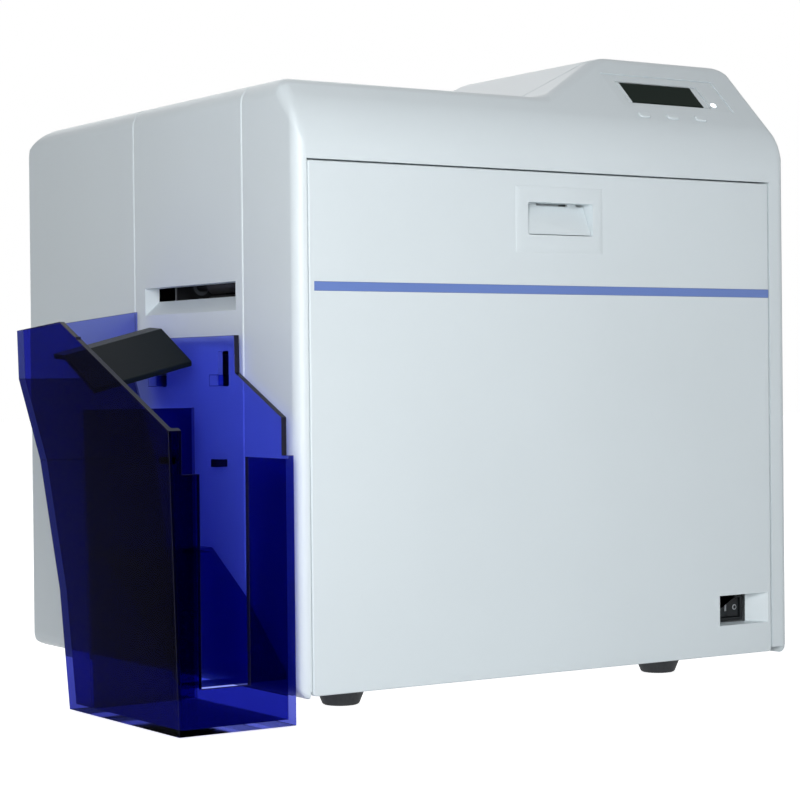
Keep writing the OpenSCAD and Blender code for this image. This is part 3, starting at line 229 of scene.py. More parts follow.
def drum(name, centre, radius, length, axis="z", sides=48, tip=None):
    """A round bar about a centre, in millimetres, with another radius at its tip if given."""
    bpy.ops.object.select_all(action="DESELECT")
    bpy.ops.mesh.primitive_cone_add(
        vertices=sides, radius1=radius * MM, radius2=(radius if tip is None else tip) * MM,
        depth=length * MM, location=at(*centre), rotation=AXES[axis]
    )
    piece = bpy.context.object
    piece.name = name
    return settle(piece)


def ring(name, centre, radius, wire, axis="z", sides=64):
    """A torus about a centre, in millimetres."""
    bpy.ops.object.select_all(action="DESELECT")
    bpy.ops.mesh.primitive_torus_add(
        major_radius=radius * MM, minor_radius=wire * MM, major_segments=sides, minor_segments=12,
        location=at(*centre), rotation=AXES[axis]
    )
    piece = bpy.context.object
    piece.name = name
    return settle(piece)


def outline_bar(name, points, axis, start, end):
    """A bar whose section is an outline in millimetres, drawn across an axis."""
    place = {
        "x": lambda p: at(start, *p), "y": lambda p: at(p[0], start, p[1]),
        "z": lambda p: at(*p, start),
    }[axis]
    mesh = bpy.data.meshes.new(name)
    mesh.from_pydata([place(p) for p in points], [], [range(len(points))])
    piece = bpy.data.objects.new(name, mesh)
    bpy.context.collection.objects.link(piece)
    pick_only(piece)
    bpy.ops.object.mode_set(mode="EDIT")
    bpy.ops.mesh.select_all(action="SELECT")
    way = Vector(WAYS[axis]) * (end - start) * MM
    bpy.ops.mesh.extrude_region_move(TRANSFORM_OT_translate={"value": way})
    bpy.ops.mesh.select_all(action="SELECT")
    bpy.ops.mesh.normals_make_consistent(inside=False)
    bpy.ops.object.mode_set(mode="OBJECT")
    return piece


def choose(piece, kind, test):
    """In edit mode, select the vertices, edges or faces for which the test holds."""
    bpy.ops.mesh.select_mode(type=kind)
    bpy.ops.mesh.select_all(action="DESELECT")
    mesh = bmesh.from_edit_mesh(piece.data)
    mesh.normal_update()
    found = {"VERT": mesh.verts, "EDGE": mesh.edges, "FACE": mesh.faces}[kind]
    count = 0
    for item in found:
        if test(item):
            item.select_set(True)
            count += 1
    mesh.select_flush_mode()
    bmesh.update_edit_mesh(piece.data)
    return count


def open_edit(piece):
    """Go into edit mode on one piece."""
    pick_only(piece)
    bpy.ops.object.mode_set(mode="EDIT")


def close_edit():
    """Leave edit mode."""
    bpy.ops.object.mode_set(mode="OBJECT")


def run_of(edge):
    """Unit direction of an edge."""
    return (edge.verts[1].co - edge.verts[0].co).normalized()


def round_edges(piece, test, width, segments=6):
    """Bevel the edges for which the test holds by a width in millimetres."""
    open_edit(piece)
    if choose(piece, "EDGE", test):
        bpy.ops.mesh.bevel(
            offset=width * MM, offset_type="OFFSET", segments=segments, affect="EDGES"
        )
    close_edit()


def round_along(piece, axis, width, segments):
    """Bevel the edges that run along an axis by a width in millimetres."""
    side = "xyz".index(axis)
    round_edges(piece, lambda e: abs(run_of(e)[side]) > ACROSS, width, segments)


def slice_off(piece, point, normal):
    """Cut the piece with a plane, drop what lies ahead of its normal and close the cut."""
    open_edit(piece)
    bpy.ops.mesh.select_all(action="SELECT")
    bpy.ops.mesh.bisect(plane_co=at(*point), plane_no=normal, use_fill=True, clear_outer=True)
    close_edit()


def score(piece, point, normal):
    """Add a loop of edges where a plane crosses the piece."""
    open_edit(piece)
    bpy.ops.mesh.select_all(action="SELECT")
    bpy.ops.mesh.bisect(plane_co=at(*point), plane_no=normal)
    close_edit()


def apply_all(piece):
    """Apply the piece's modifiers in order."""
    pick_only(piece)
    for m in list(piece.modifiers):
        bpy.ops.object.modifier_apply(modifier=m.name)


def combine(piece, tool, way="DIFFERENCE"):
    """Cut a tool out of the piece, or join it on, and remove the tool."""
    m = piece.modifiers.new("combine", "BOOLEAN")
    m.operation = way
    m.solver = "EXACT"
    m.object = tool
    apply_all(piece)
    bpy.data.objects.remove(tool)
    return piece


def cut(piece, name, low, high):
    """Cut a box out of the piece."""
    return combine(piece, block(name, low, high))


def add(piece, name, low, high):
    """Join a box onto the piece."""
    return combine(piece, block(name, low, high), "UNION")


def join(*objects):
    """Make one piece of several separate ones."""
    pick_only(*objects)
    bpy.ops.object.join()
    return objects[0]


def tidy_mesh(piece):
    """Merge doubles and thin leftovers and turn faces outwards."""
    open_edit(piece)
    bpy.ops.mesh.select_all(action="SELECT")
    bpy.ops.mesh.remove_doubles(threshold=LEAST)
    bpy.ops.mesh.dissolve_degenerate(threshold=LEAST)
    bpy.ops.mesh.normals_make_consistent(inside=False)
    close_edit()


def bevel(piece, width, segments, angle):
    """A bevel, not yet applied, on the edges sharper than an angle in degrees."""
    m = piece.modifiers.new("bevel", "BEVEL")
    m.width = width * MM
    m.segments = segments
    m.limit_method = "ANGLE"
    m.angle_limit = math.radians(angle)
    return m


def edge_round(piece, width, segments=3):
    """Bevel every sharp edge by a width in millimetres, and leave the shading."""
    bevel(piece, width, segments, SHARP)
    apply_all(piece)
    return piece


def soften(piece, width, segments=2, angle=SHARP):
    """Round the small edges by a width in millimetres and shade the piece smooth."""
    if width:
        bevel(piece, width, segments, angle).miter_outer = "MITER_ARC"
    apply_all(piece)
    pick_only(piece)
    bpy.ops.object.shade_smooth_by_angle(angle=math.radians(50))
    m = piece.modifiers.new("shade", "WEIGHTED_NORMAL")
    m.keep_sharp = True
    m.weight = 90
    apply_all(piece)
    return piece


def shade_only(piece):
    """Shade a piece smooth whose edges are rounded already."""
    return soften(piece, 0)


def coloured(piece, finish):
    """Give a whole piece or part one finish."""
    piece.data.materials.clear()
    piece.data.materials.append(finishes()[finish])
    return piece


def deliver(piece, finish, body, slot, *nodes):
    """Give the piece its finish and body, and let it stand for CAD nodes."""
    coloured(piece, finish)
    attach(piece, body)
    if nodes:
        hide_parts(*nodes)
    return piece


def shift(piece, test, move):
    """Move the corners for which the test holds by some millimetres."""
    open_edit(piece)
    choose(piece, "VERT", lambda v: test(*spot(v.co)))
    bpy.ops.transform.translate(value=Vector(move) * MM)
    close_edit()
    return piece


def taper(piece, side, low, high):
    """Draw in a block's end, at its highest x or y, by millimetres at its low and high sides."""
    along = 0 if side == "x" else 1
    across = 1 - along
    points = [spot(v.co) for v in piece.data.vertices]
    end = max(p[along] for p in points) - 0.01
    middle = (min(p[across] for p in points) + max(p[across] for p in points)) / 2
    centre = (min(p[2] for p in points) + max(p[2] for p in points)) / 2
    for sign, amount in ((-1, low), (1, high)):
        move = [0, 0, 0]
        move[across] = -sign * amount[0]
        shift(piece, lambda *p: p[along] > end and (p[across] - middle) * sign > 0, move)
        shift(
            piece, lambda *p: p[along] > end and (p[2] - centre) * sign > 0,
            (0, 0, -sign * amount[1])
        )
    return piece


def paint_faces(piece, finish, test):
    """Give the faces for which the test holds another finish."""
    material = finishes()[finish]
    if material.name not in piece.data.materials:
        piece.data.materials.append(material)
    open_edit(piece)
    choose(piece, "FACE", test)
    piece.active_material_index = piece.data.materials.find(material.name)
    bpy.ops.object.material_slot_assign()
    close_edit()


def paint(piece, finish, test):
    """Give faces another finish by a test of a face's middle and its normal."""
    paint_faces(piece, finish, lambda f: test(*spot(f.calc_center_median()), f.normal))


def paint_rim_shade(piece):
    """Give the narrow faces, where light runs out of a clear wall, a near-black finish: painted
    shade for the dark outlines of its edges.
    """
    paint_faces(
        piece, "rim", lambda f: f.calc_area() < CLEAR_EDGE * max(e.calc_length() for e in f.edges)
    )


def from_node(name, node):
    """A merged copy of a CAD node's mesh, with its flat faces whole again."""
    piece = bpy.data.objects.new(name, frame["nodes"][node].data.copy())
    bpy.context.collection.objects.link(piece)
    open_edit(piece)
    bpy.ops.mesh.select_all(action="SELECT")
    bpy.ops.mesh.remove_doubles(threshold=0.000005)
    bpy.ops.mesh.dissolve_limited(angle_limit=math.radians(0.5))
    bpy.ops.mesh.select_all(action="DESELECT")
    close_edit()
    return piece


def set_out(piece, body, slot, *nodes):
    """Put a piece with several finishes on its body, and let it stand for CAD nodes."""
    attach(piece, body)
    if nodes:
        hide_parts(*nodes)
    return piece


# ---------------------------------------------------------------- finishes


def new_finish(name):
    """A material with its shader, and the nodes and links to build on."""
    material = bpy.data.materials.get(name) or bpy.data.materials.new(name)
    material.use_nodes = True
    tree = material.node_tree
    tree.nodes.clear()
    shader = tree.nodes.new("ShaderNodeBsdfPrincipled")
    out = tree.nodes.new("ShaderNodeOutputMaterial")
    tree.links.new(shader.outputs[0], out.inputs[0])
    coords = tree.nodes.new("ShaderNodeTexCoord")
    return material, tree, shader, coords.outputs["Object"]


def scaled(colour, factor):
    """A colour made paler or deeper."""
    return tuple(min(1, c * factor) for c in colour)


def noise(tree, coords, scale, detail=3.0, rough=0.5):
    """A noise texture's strength over the piece."""
    n = tree.nodes.new("ShaderNodeTexNoise")
    n.inputs["Scale"].default_value = scale
    n.inputs["Detail"].default_value = detail
    n.inputs["Roughness"].default_value = rough
    tree.links.new(coords, n.inputs["Vector"])
    return n.outputs["Fac"]


def stretched(tree, coords, scale):
    """The piece's own coordinates, scaled along each axis."""
    mapping = tree.nodes.new("ShaderNodeMapping")
    mapping.inputs["Scale"].default_value = scale
    tree.links.new(coords, mapping.inputs["Vector"])
    return mapping.outputs["Vector"]


def spread(tree, value, low, high):
    """Stretch the middle of a noise texture's range onto another range."""
    m = tree.nodes.new("ShaderNodeMapRange")
    m.inputs["From Min"].default_value = 0.3
    m.inputs["From Max"].default_value = 0.7
    m.inputs["To Min"].default_value = low
    m.inputs["To Max"].default_value = high
    tree.links.new(value, m.inputs["Value"])
    return m.outputs["Result"]


def tint(tree, value, dark, light):
    """A colour between two, led by a value."""
    m = tree.nodes.new("ShaderNodeMix")
    m.data_type = "RGBA"
    m.inputs["A"].default_value = (*dark, 1)
    m.inputs["B"].default_value = (*light, 1)
    tree.links.new(value, m.inputs["Factor"])
    return m.outputs["Result"]


def mottle(tree, shader, coords, scale, dark, light, detail=3.0):
    """Let the shader's colour drift between two tones."""
    drift = noise(tree, coords, scale, detail)
    tree.links.new(tint(tree, drift, dark, light), shader.inputs["Base Color"])


def roughen(tree, shader, texture, low, high):
    """Let the shader's roughness follow a texture between two values."""
    tree.links.new(spread(tree, texture, low, high), shader.inputs["Roughness"])


def bump(tree, shader, height, strength, distance):
    """Raise the surface by a texture."""
    b = tree.nodes.new("ShaderNodeBump")
    b.inputs["Strength"].default_value = strength
    b.inputs["Distance"].default_value = distance
    tree.links.new(height, b.inputs["Height"])
    tree.links.new(b.outputs["Normal"], shader.inputs["Normal"])


def moulded(name, colour, roughness=0.42, grain=2600.0, depth=0.00004, drift=0.03, shine=0.4):
    """Moulded plastic: a fine eroded grain and a faint drift of tone."""
    material, tree, shader, coords = new_finish(name)
    pale, deep = scaled(colour, 1 + drift), scaled(colour, 1 - drift)
    mottle(tree, shader, coords, 9.0, deep, pale, 2.0)
    fine = noise(tree, coords, grain, 2.0, 0.6)
    roughen(tree, shader, fine, roughness - 0.06, roughness + 0.06)
    bump(tree, shader, fine, 0.22, depth)
    shader.inputs["IOR"].default_value = 1.49
    shader.inputs["Specular IOR Level"].default_value = shine
    return material


def glossy(name, colour, roughness=0.12, coat=0.4, shine=0.5, ior=1.5):
    """Polished plastic with the faintest ripple of its mould."""
    material, tree, shader, coords = new_finish(name)
    mottle(tree, shader, coords, 14.0, scaled(colour, 0.94), colour)
    roughen(tree, shader, noise(tree, coords, 420.0), roughness, roughness + 0.07)
    bump(tree, shader, noise(tree, coords, 38.0, 1.0), 0.04, 0.0004)
    shader.inputs["Coat Weight"].default_value = coat
    shader.inputs["Coat Roughness"].default_value = 0.05
    shader.inputs["IOR"].default_value = ior
    shader.inputs["Specular IOR Level"].default_value = shine
    return material


def clear_plastic(name, colour):
    """Dyed see-through plastic."""
    material, tree, shader, coords = new_finish(name)
    mottle(tree, shader, coords, 11.0, scaled(colour, 0.86), colour)
    roughen(tree, shader, noise(tree, coords, 260.0), 0.02, 0.06)
    bump(tree, shader, noise(tree, coords, 30.0, 1.0), 0.04, 0.0004)
    shader.inputs["Transmission Weight"].default_value = 1.0
    shader.inputs["IOR"].default_value = 1.035
    shader.inputs["Specular Tint"].default_value = (0.05, 0.06, 0.34, 1)
    return material


def metal(name, colour, roughness=0.32, lie=(1.0, 1.0, 26.0), brushed=0.25):
    """Rolled or ground metal whose scratches lie across one axis."""
    material, tree, shader, coords = new_finish(name)
    lines = noise(tree, stretched(tree, coords, lie), 90.0, 4.0, 0.7)
    mottle(tree, shader, coords, 16.0, scaled(colour, 0.88), colour)
    roughen(tree, shader, lines, roughness - 0.08, roughness + 0.12)
    bump(tree, shader, lines, brushed, 0.00003)
    shader.inputs["Metallic"].default_value = 1.0
    return material


def rubbery(name, colour, roughness=0.74, grain=900.0):
    """Matt rubber with a dusty, slightly uneven skin."""
    material, tree, shader, coords = new_finish(name)
    dusty = tuple(min(1, c * 1.7 + 0.012) for c in colour)
    dust = spread(tree, noise(tree, coords, 30.0), 0, 0.7)
    tree.links.new(tint(tree, dust, colour, dusty), shader.inputs["Base Color"])
    fine = noise(tree, coords, grain, 3.0)
    roughen(tree, shader, fine, roughness - 0.08, roughness + 0.08)
    bump(tree, shader, fine, 0.35, 0.00008)
    return material


def wound(name, colour):
    """Film wound in many turns, with the edges of the turns showing at the ends."""
    material, tree, shader, coords = new_finish(name)
    lines = noise(tree, stretched(tree, coords, (1.0, 22.0, 1.0)), 60.0, 3.0)
    pale = tuple(min(1, c * 1.25 + 0.01) for c in colour)
    mottle(tree, shader, coords, 700.0, colour, pale)
    roughen(tree, shader, lines, 0.14, 0.3)
    bump(tree, shader, lines, 0.12, 0.0001)
    shader.inputs["Coat Weight"].default_value = 0.3
    shader.inputs["Coat Roughness"].default_value = 0.08
    return material


def glowing(name, colour, strength):
    """A lit lens, brighter where the light behind it is."""
    material, tree, shader, coords = new_finish(name)
    pale = scaled(colour, 1.1)
    mottle(tree, shader, coords, 900.0, colour, pale)
    lit = tint(tree, noise(tree, coords, 600.0), colour, (1, 1, 1))
    tree.links.new(lit, shader.inputs["Emission Color"])
    shader.inputs["Emission Strength"].default_value = strength
    shader.inputs["Roughness"].default_value = 0.2
    return material


FINISHES = {}


def finishes():
    """The object's finishes by name, made once."""
    if FINISHES:
        return FINISHES
    look = bpy.context.scene.printer_finish
    shell, black, steel = tuple(look.shell), tuple(look.black), tuple(look.steel)
    FINISHES.update(
        shell=moulded("shell_plastic", shell),
        panel=moulded("panel_plastic", scaled(shell, 0.97), 0.36, 2200.0),
        key=moulded("key_plastic", scaled(shell, 1.02), 0.33, 2400.0, 0.00002),
        stripe=glossy("stripe_film", tuple(look.stripe), 0.3, 0.1),
        window=glossy("window_black", tuple(look.display), 0.14, 0.0, 0.3, 1.12),
        screen=glossy("display_glass", (0.005, 0.013, 0.009), 0.18, 0.0, 0.3, 1.1),
        lamp=glowing("lamp_glow", (0.86, 0.93, 1.0), 2.2),
        mark=moulded("printed_mark", (0.36, 0.38, 0.40), 0.5, 3000.0, 0.00001),
        stacker=clear_plastic("stacker_clear", tuple(look.stacker)),
        # a paler copy of the stacker's clear plastic: painted light on the walls lit from behind
        back=clear_plastic("stacker_back_painted_light", (0.28, 0.33, 0.90)),
        ramp=clear_plastic("ramp_clear", (0.10, 0.14, 0.60)),
        # near-black glossy for the clear walls' narrow edge faces: painted shade for their dark
        # outlines
        rim=glossy("stacker_rim_painted_shade", (0.003, 0.003, 0.016), 0.14, 0.0, 0.3, 1.4),
        flap=glossy("flap_plastic", (0.005, 0.008, 0.011), 0.34, 0.0, 0.3, 1.25),
        black=moulded("black_plastic", black, 0.42, 1800.0, shine=0.2),
        steel=metal("sheet_steel", steel, 0.34),
        pin=metal("ground_steel", (0.62, 0.62, 0.63), 0.2, (1, 26, 1)),
        # dark steel: painted shade on the parts that are seen in the shade through the card outlet
        dark=metal("shade_painted_steel", (0.055, 0.058, 0.065), 0.42, (1, 26, 1), 0.1),
        alloy=metal("extruded_alloy", (0.60, 0.61, 0.63), 0.3, (1, 30, 1)),
        gold=metal("gold_contact", (0.78, 0.58, 0.26), 0.26, (1, 8, 8), 0.1),
        foot=rubbery("foot_rubber", (0.03, 0.033, 0.037)),
        roller=rubbery("roller_rubber", (0.03, 0.03, 0.034), 0.6, 1500.0),
        tacky=glossy("tacky_rubber", (0.24, 0.30, 0.38), 0.3, 0.1),
        silicone=rubbery("silicone_rubber", (0.20, 0.06, 0.035), 0.5, 1300.0),
        belt=rubbery("belt_rubber", (0.016, 0.016, 0.018)),
        cassette=moulded("cassette_plastic", (0.075, 0.085, 0.10), 0.4, 2000.0),
        gear=moulded("natural_plastic", (0.72, 0.68, 0.54), 0.35, 1200.0, 0.00002, 0.05),
        spool=moulded("spool_plastic", (0.68, 0.69, 0.67), 0.36, 1400.0, 0.00002, 0.04),
        ribbon=wound("wound_ribbon", (0.055, 0.018, 0.05)),
        film=wound("wound_film", (0.33, 0.35, 0.37)),
        ceramic=glossy("glazed_ceramic", (0.045, 0.042, 0.040), 0.18, 0.5),
        board=glossy("board_mask", (0.012, 0.10, 0.042), 0.35, 0.2),
    )
    return FINISHES


# ---------------------------------------------------------------- enclosure


def round_by_weight(piece, radius_of, segments=8):
    """Round each edge by its own radius in metres, all at once so that they meet cleanly."""
    widest = 0.05  # the radius in metres that has the full weight
    open_edit(piece)
    mesh = bmesh.from_edit_mesh(piece.data)
    layer = mesh.edges.layers.float.new("bevel_weight_edge")
    for e in mesh.edges:
        e[layer] = max(0, radius_of(e)) / widest
    bmesh.update_edit_mesh(piece.data)
    close_edit()
    m = piece.modifiers.new("rounding", "BEVEL")
    m.width = widest
    m.limit_method = "WEIGHT"
    m.segments = segments
    m.use_clamp_overlap = False
    apply_all(piece)


def front_block(name, inset, back):
    """Form of the enclosure in front of a plane, pod included, drawn in by an inset."""
    s = bpy.context.scene.printer_enclosure
    i = inset
    piece = block(name, (i, i, BOTTOM + i), (WIDTH - i, back, TOP - i))
    flank = (POD_EDGE - POD_LEFT) / (POD_TOP - TOP)
    foot = POD_LEFT + (i * math.sqrt(1 + flank * flank) - i * flank)
    score(piece, (foot, 0, 0), WAYS["x"])
    open_edit(piece)
    pod_start = at(foot, 0, 0).x
    choose(piece, "FACE", lambda f: f.normal.z > ACROSS and f.calc_center_median().x > pod_start)
    bpy.ops.mesh.extrude_region_move(TRANSFORM_OT_translate={"value": (0, 0, (POD_TOP - TOP) * MM)})
    upper = at(0, 0, TOP + 5).z
    choose(piece, "VERT", lambda v: v.co.z > upper and v.co.x < pod_start + MM)
    bpy.ops.transform.translate(value=((POD_EDGE - POD_LEFT) * MM, 0, 0))
    close_edit()
    slice_off(piece, (0, 0, SLOPE_FOOT - i * math.sqrt(2)), (0, -1, 1))

    def radius_of(edge):
        x, y, z = mids(edge)
        d = run_of(edge)
        if y > back - 1 and abs(d.y) < 0.5:
            return 0
        if (x < i + 1 or x > WIDTH - i - 1) and abs(d.x) < 0.5:
            if abs(d.y) > ACROSS:
                return (s.side_radius if z > HALFWAY else s.foot_radius) - i * MM
            return s.front_radius - i * MM
        if abs(d.x) > ACROSS and z < 20:
            return FOOT_EASE
        if abs(d.x) > ACROSS and y < i + 1:
            return (s.bend_radius - i * MM) * math.tan(math.radians(22.5))
        if z > TOP - i - 2 and abs(d.y) > ACROSS:
            return 0.010
        return 0.0055 if z > TOP - i - 2 else 0

    round_by_weight(piece, radius_of)
    return piece


def rear_block(name, inset, start):
    """Form of the enclosure behind a plane, drawn in by an inset."""
    s = bpy.context.scene.printer_enclosure
    i = inset
    piece = block(name, (i, start, BOTTOM + i), (WIDTH - i, DEPTH - i, TOP - i))

    def radius_of(edge):
        _, y, z = mids(edge)
        d = run_of(edge)
        if y < start + 1 and abs(d.y) < 0.5:
            return 0
        if abs(d.x) > ACROSS:
            return s.rear_radius - i * MM if z > HALFWAY else FOOT_EASE
        if abs(d.z) > ACROSS:
            return s.front_radius - i * MM
        return (s.side_radius if z > HALFWAY else s.foot_radius) - i * MM

    round_by_weight(piece, radius_of, 10)
    return piece


def open_shell(piece, hollow):
    """Hollow a form out and open its underside for the base pan."""
    combine(piece, hollow)
    head = BOTTOM + WALL + 1.5
    return cut(piece, "underside", (6, -2, BOTTOM - 2), (WIDTH - 6, DEPTH - 6, head))


# places on the shells, across (x), deep (y), up (z) or up the slope (s)
DOOR_LEFT, DOOR_RIGHT, DOOR_FOOT, DOOR_TOP = 7.5, 328.2, 14.0, 293.0
DOOR_GAP = 0.8
CONTROLS_TURN = Matrix.Rotation(math.radians(45), 4, "X")
BEZEL = (234.0, 320.0, 14.0, 43.6)  # left, right, foot and head of the panel on the slope
DISPLAY = (242.0, 304.0, 17.9, 36.7)
RIM_LEFT, RIM_RIGHT = 2.2, 5.0  # the printed light rim at the ends of the display's window
BUTTONS = (245.0, 266.5, 288.0)
BUTTON_S = 5.4  # the keys' middle line, up the slope
KEY_HALF, KEY_HOLE_HALF = (4.25, 2.25), (4.33, 2.33)
SCREEN_LEFT, SCREEN_RIGHT = 246, 297  # the glass over the characters
LAMP_X, LAMP_S = 308, 20.5
LID_LEFT, LID_FRONT, LID_FOOT = 244.0, 62.0, 353.0
LID_PIN = (178.0, 357.0)  # y and z of the lid's hinge
LID_POSTS = (258.0, 317.0)
LATCH_X = 171.5
TONGUES = (157.5, 185.5)  # the latch's two, across
SWITCH = (305.0, 40.5)
HOOKS = (78.0, 150.0)  # the stacker's two, deep
HINGES = (31.5, 304.2)  # the door's two, across
HINGE_Y, HINGE_Z = 8, 21
STRIPE_FOOT, STRIPE_HEAD = 225, 230


def on_slope(piece):
    """Stand a piece that was made flat, its X and Y along the slope, onto the sloped face."""
    foot = at(0, 10, SLOPE_FOOT + 10)
    piece.data.transform(
        Matrix.Translation(foot) @ CONTROLS_TURN @ Matrix.Translation(-at(0, 0, 0))
    )
    return piece


def ease_seam(piece, y, width):
    """Round the outline of a form where it ends at a seam."""
    open_edit(piece)
    choose(
        piece, "FACE",
        lambda f: abs(spot(f.calc_center_median())[1] - y) < 0.05 and abs(f.normal.y) > ACROSS
    )
    bpy.ops.mesh.region_to_loop()
    bpy.ops.mesh.bevel(offset=width * MM, offset_type="OFFSET", segments=4, affect="EDGES")
    close_edit()


def finish_moulding(piece, body, node, width=0.3, segments=2, angle=40):
    """Clean a moulding in the shell's plastic, ease its cut edges and set it out."""
    tidy_mesh(piece)
    soften(piece, width, segments, angle)
    deliver(piece, "shell", body, "shell_plastic", node)


def switch_funnel(grow, end):
    """Flared recess through the door to the power switch, grown all round."""
    low, high = (287 - grow, -1, 31.7 - grow), (326.4 + grow, end, 49.5 + grow)
    return taper(block("switch_funnel", low, high), "y", (6.3, 0.5), (9.7, 0.7))


class PRINTER_OT_front_shell(bpy.types.Operator):
    """Model the front shell with its door opening, strike and sloped control face"""

    bl_idname = "printer.front_shell"
    bl_label = "Front shell"

    def execute(self, context):
        gap = context.scene.printer_enclosure.seam / MM / 2
        piece = front_block("front_cover", 0, SEAM_1 - gap)
        ease_seam(piece, SEAM_1 - gap, 0.6)
        open_shell(piece, front_block("hollow", WALL, SEAM_1 + 5))
        left, right, head = DOOR_LEFT - DOOR_GAP, DOOR_RIGHT + DOOR_GAP, DOOR_TOP + DOOR_GAP
        cut(piece, "opening", (left, -5, 0), (right, 3.5, head))
        cut(piece, "foot_gap", (left, -5, 0), (right, 15.5, 19))
        for low, high in (
            ((left - 2, 2, 18), (left, 15, head + 2)),
            ((right, 2, 18), (right + 2, 15, head + 2)),
            ((left - 2, 2, head), (right + 2, 18, head + 2)),
            ((LATCH_X - 20, 17.9, 277), (LATCH_X + 20, 20, head + 2)),
        ):
            add(piece, "jamb", low, high)
        for x in TONGUES:
            cut(piece, "catch", (x - 4, 17, 280), (x + 4, 21, 289))
        low_x, high_x, foot, top = BEZEL
        combine(piece, on_slope(block("recess", (low_x, foot, -1.6), (high_x, top, 3))))
        low_x, high_x, foot, top = DISPLAY
        window = block("window", (low_x - 1, foot - 1, -6), (high_x + 1, top + 1, 3))
        combine(piece, on_slope(window))
        wide, deep = KEY_HOLE_HALF
        for x in BUTTONS:
            hole = block("hole", (x - wide, BUTTON_S - deep, -6), (x + wide, BUTTON_S + deep, 3))
            round_along(hole, "z", 1.9, 4)
            combine(piece, on_slope(hole))
        finish_moulding(piece, "body", "front_shell")
        return {"FINISHED"}


def level_top(piece):
    """Press flat what the rounded corners push above the pod's top."""
    open_edit(piece)
    top = at(0, 0, POD_TOP)
    if choose(piece, "VERT", lambda v: v.co.z > top.z):
        bpy.ops.transform.resize(value=(1, 1, 0), center_override=top)
    close_edit()


class PRINTER_OT_middle_shell(bpy.types.Operator):
    """Model the middle shell with its card outlet, lid opening and stacker slots"""

    bl_idname = "printer.middle_shell"
    bl_label = "Middle shell"

    def execute(self, context):
        gap = context.scene.printer_enclosure.seam / MM / 2
        start, end = SEAM_1 + gap, SEAM_2 - gap
        piece = front_block("middle_cover", 0, end)
        slice_off(piece, (0, start, 0), (0, -1, 0))
        ease_seam(piece, start, 1.1)
        ease_seam(piece, end, 0.6)
        hollow = front_block("hollow", WALL, SEAM_2 + 5)
        slice_off(hollow, (0, SEAM_1 - 20, 0), (0, -1, 0))
        open_shell(piece, hollow)
        cheek = front_block("pod_end", 1, end)
        slice_off(cheek, (0, end - WALL, 0), (0, -1, 0))
        slice_off(cheek, (0, 0, TOP - WALL), (0, 0, -1))
        slice_off(cheek, (POD_LEFT, 0, 0), (-1, 0, 0))
        combine(piece, cheek, "UNION")
        collar = taper(block("collar", (0.5, 62, 214), (9, 172, 234.5)), "x", (2, 9), (0.4, 0))
        combine(piece, collar, "UNION")
        outlet = taper(block("outlet", (-1, 64, 216), (9.01, 170, 232.5)), "x", (2, 9), (0.4, 0))
        combine(piece, outlet)
        cut(piece, "throat", (8, 66, 225.2), (10, 169.4, 232.3))
        edge = LID_LEFT - 0.4
        cut(
            piece, "lid_gap", (edge, LID_FRONT - 0.4, LID_FOOT - 0.4),
            (WIDTH + 5, DEPTH, POD_TOP + 5)
        )
        cut(
            piece, "hinge_gap", (edge, SEAM_2 - 9.6, LID_FOOT - 3.5),
            (WIDTH + 5, DEPTH, LID_FOOT + 5)
        )
        for y in HOOKS:
            slot = block("hook_slot", (-1, y - 6, 175.7), (4, y + 6, 195))
            round_along(slot, "x", 1.2, 3)
            combine(piece, slot)
        y, z = LID_PIN
        for x in LID_POSTS:
            outline = [
                (y - 3, TOP - 8), (SEAM_2 - 2, TOP - 8), (SEAM_2 - 2, TOP),
                (SEAM_2 - 3.4, TOP + 1.4), (SEAM_2 - 3.4, z - 4), (y + 1.6, z + 2.6),
                (y - 3, z + 2.6)
            ]
            post = outline_bar("lid_post", outline, "x", x - 5.3, x - 0.3)
            combine(post, drum("pin_hole", (x - 3, y, z), 1.55, 12, "x", 24))
            combine(piece, post, "UNION")
        level_top(piece)
        finish_moulding(piece, "body", "middle_shell")
        return {"FINISHED"}


class PRINTER_OT_rear_shell(bpy.types.Operator):
    """Model the rear shell with its vents and the opening for the connectors"""

    bl_idname = "printer.rear_shell"
    bl_label = "Rear shell"

    def execute(self, context):
        gap = context.scene.printer_enclosure.seam / MM / 2
        piece = rear_block("rear_cover", 0, SEAM_2 + gap)
        ease_seam(piece, SEAM_2 + gap, 1.1)
        open_shell(piece, rear_block("hollow", WALL, SEAM_2 - 5))
        cut(piece, "connector_gap", (152.7, DEPTH - 8, 23.7), (323.3, DEPTH + 1, 90.3))
        slot = block("fan_slot", (44, DEPTH - 8, 206), (48, DEPTH + 1, 278))
        round_along(slot, "y", 1.9, 4)
        combine(piece, in_rows(slot, (8, 0, 0), 9))
        slot = block("side_slot", (WIDTH - 8, 217, 52), (WIDTH + 1, 221, 122))
        round_along(slot, "x", 1.9, 4)
        combine(piece, in_rows(slot, (0, 8, 0), 12))
        finish_moulding(piece, "body", "rear_shell")
        return {"FINISHED"}


def in_rows(piece, step, count):
    """Repeat a piece at a step in millimetres."""
    m = piece.modifiers.new("rows", "ARRAY")
    m.use_relative_offset = False
    m.use_constant_offset = True
    m.constant_offset_displace = Vector(step) * MM
    m.count = count
    apply_all(piece)
    return piece


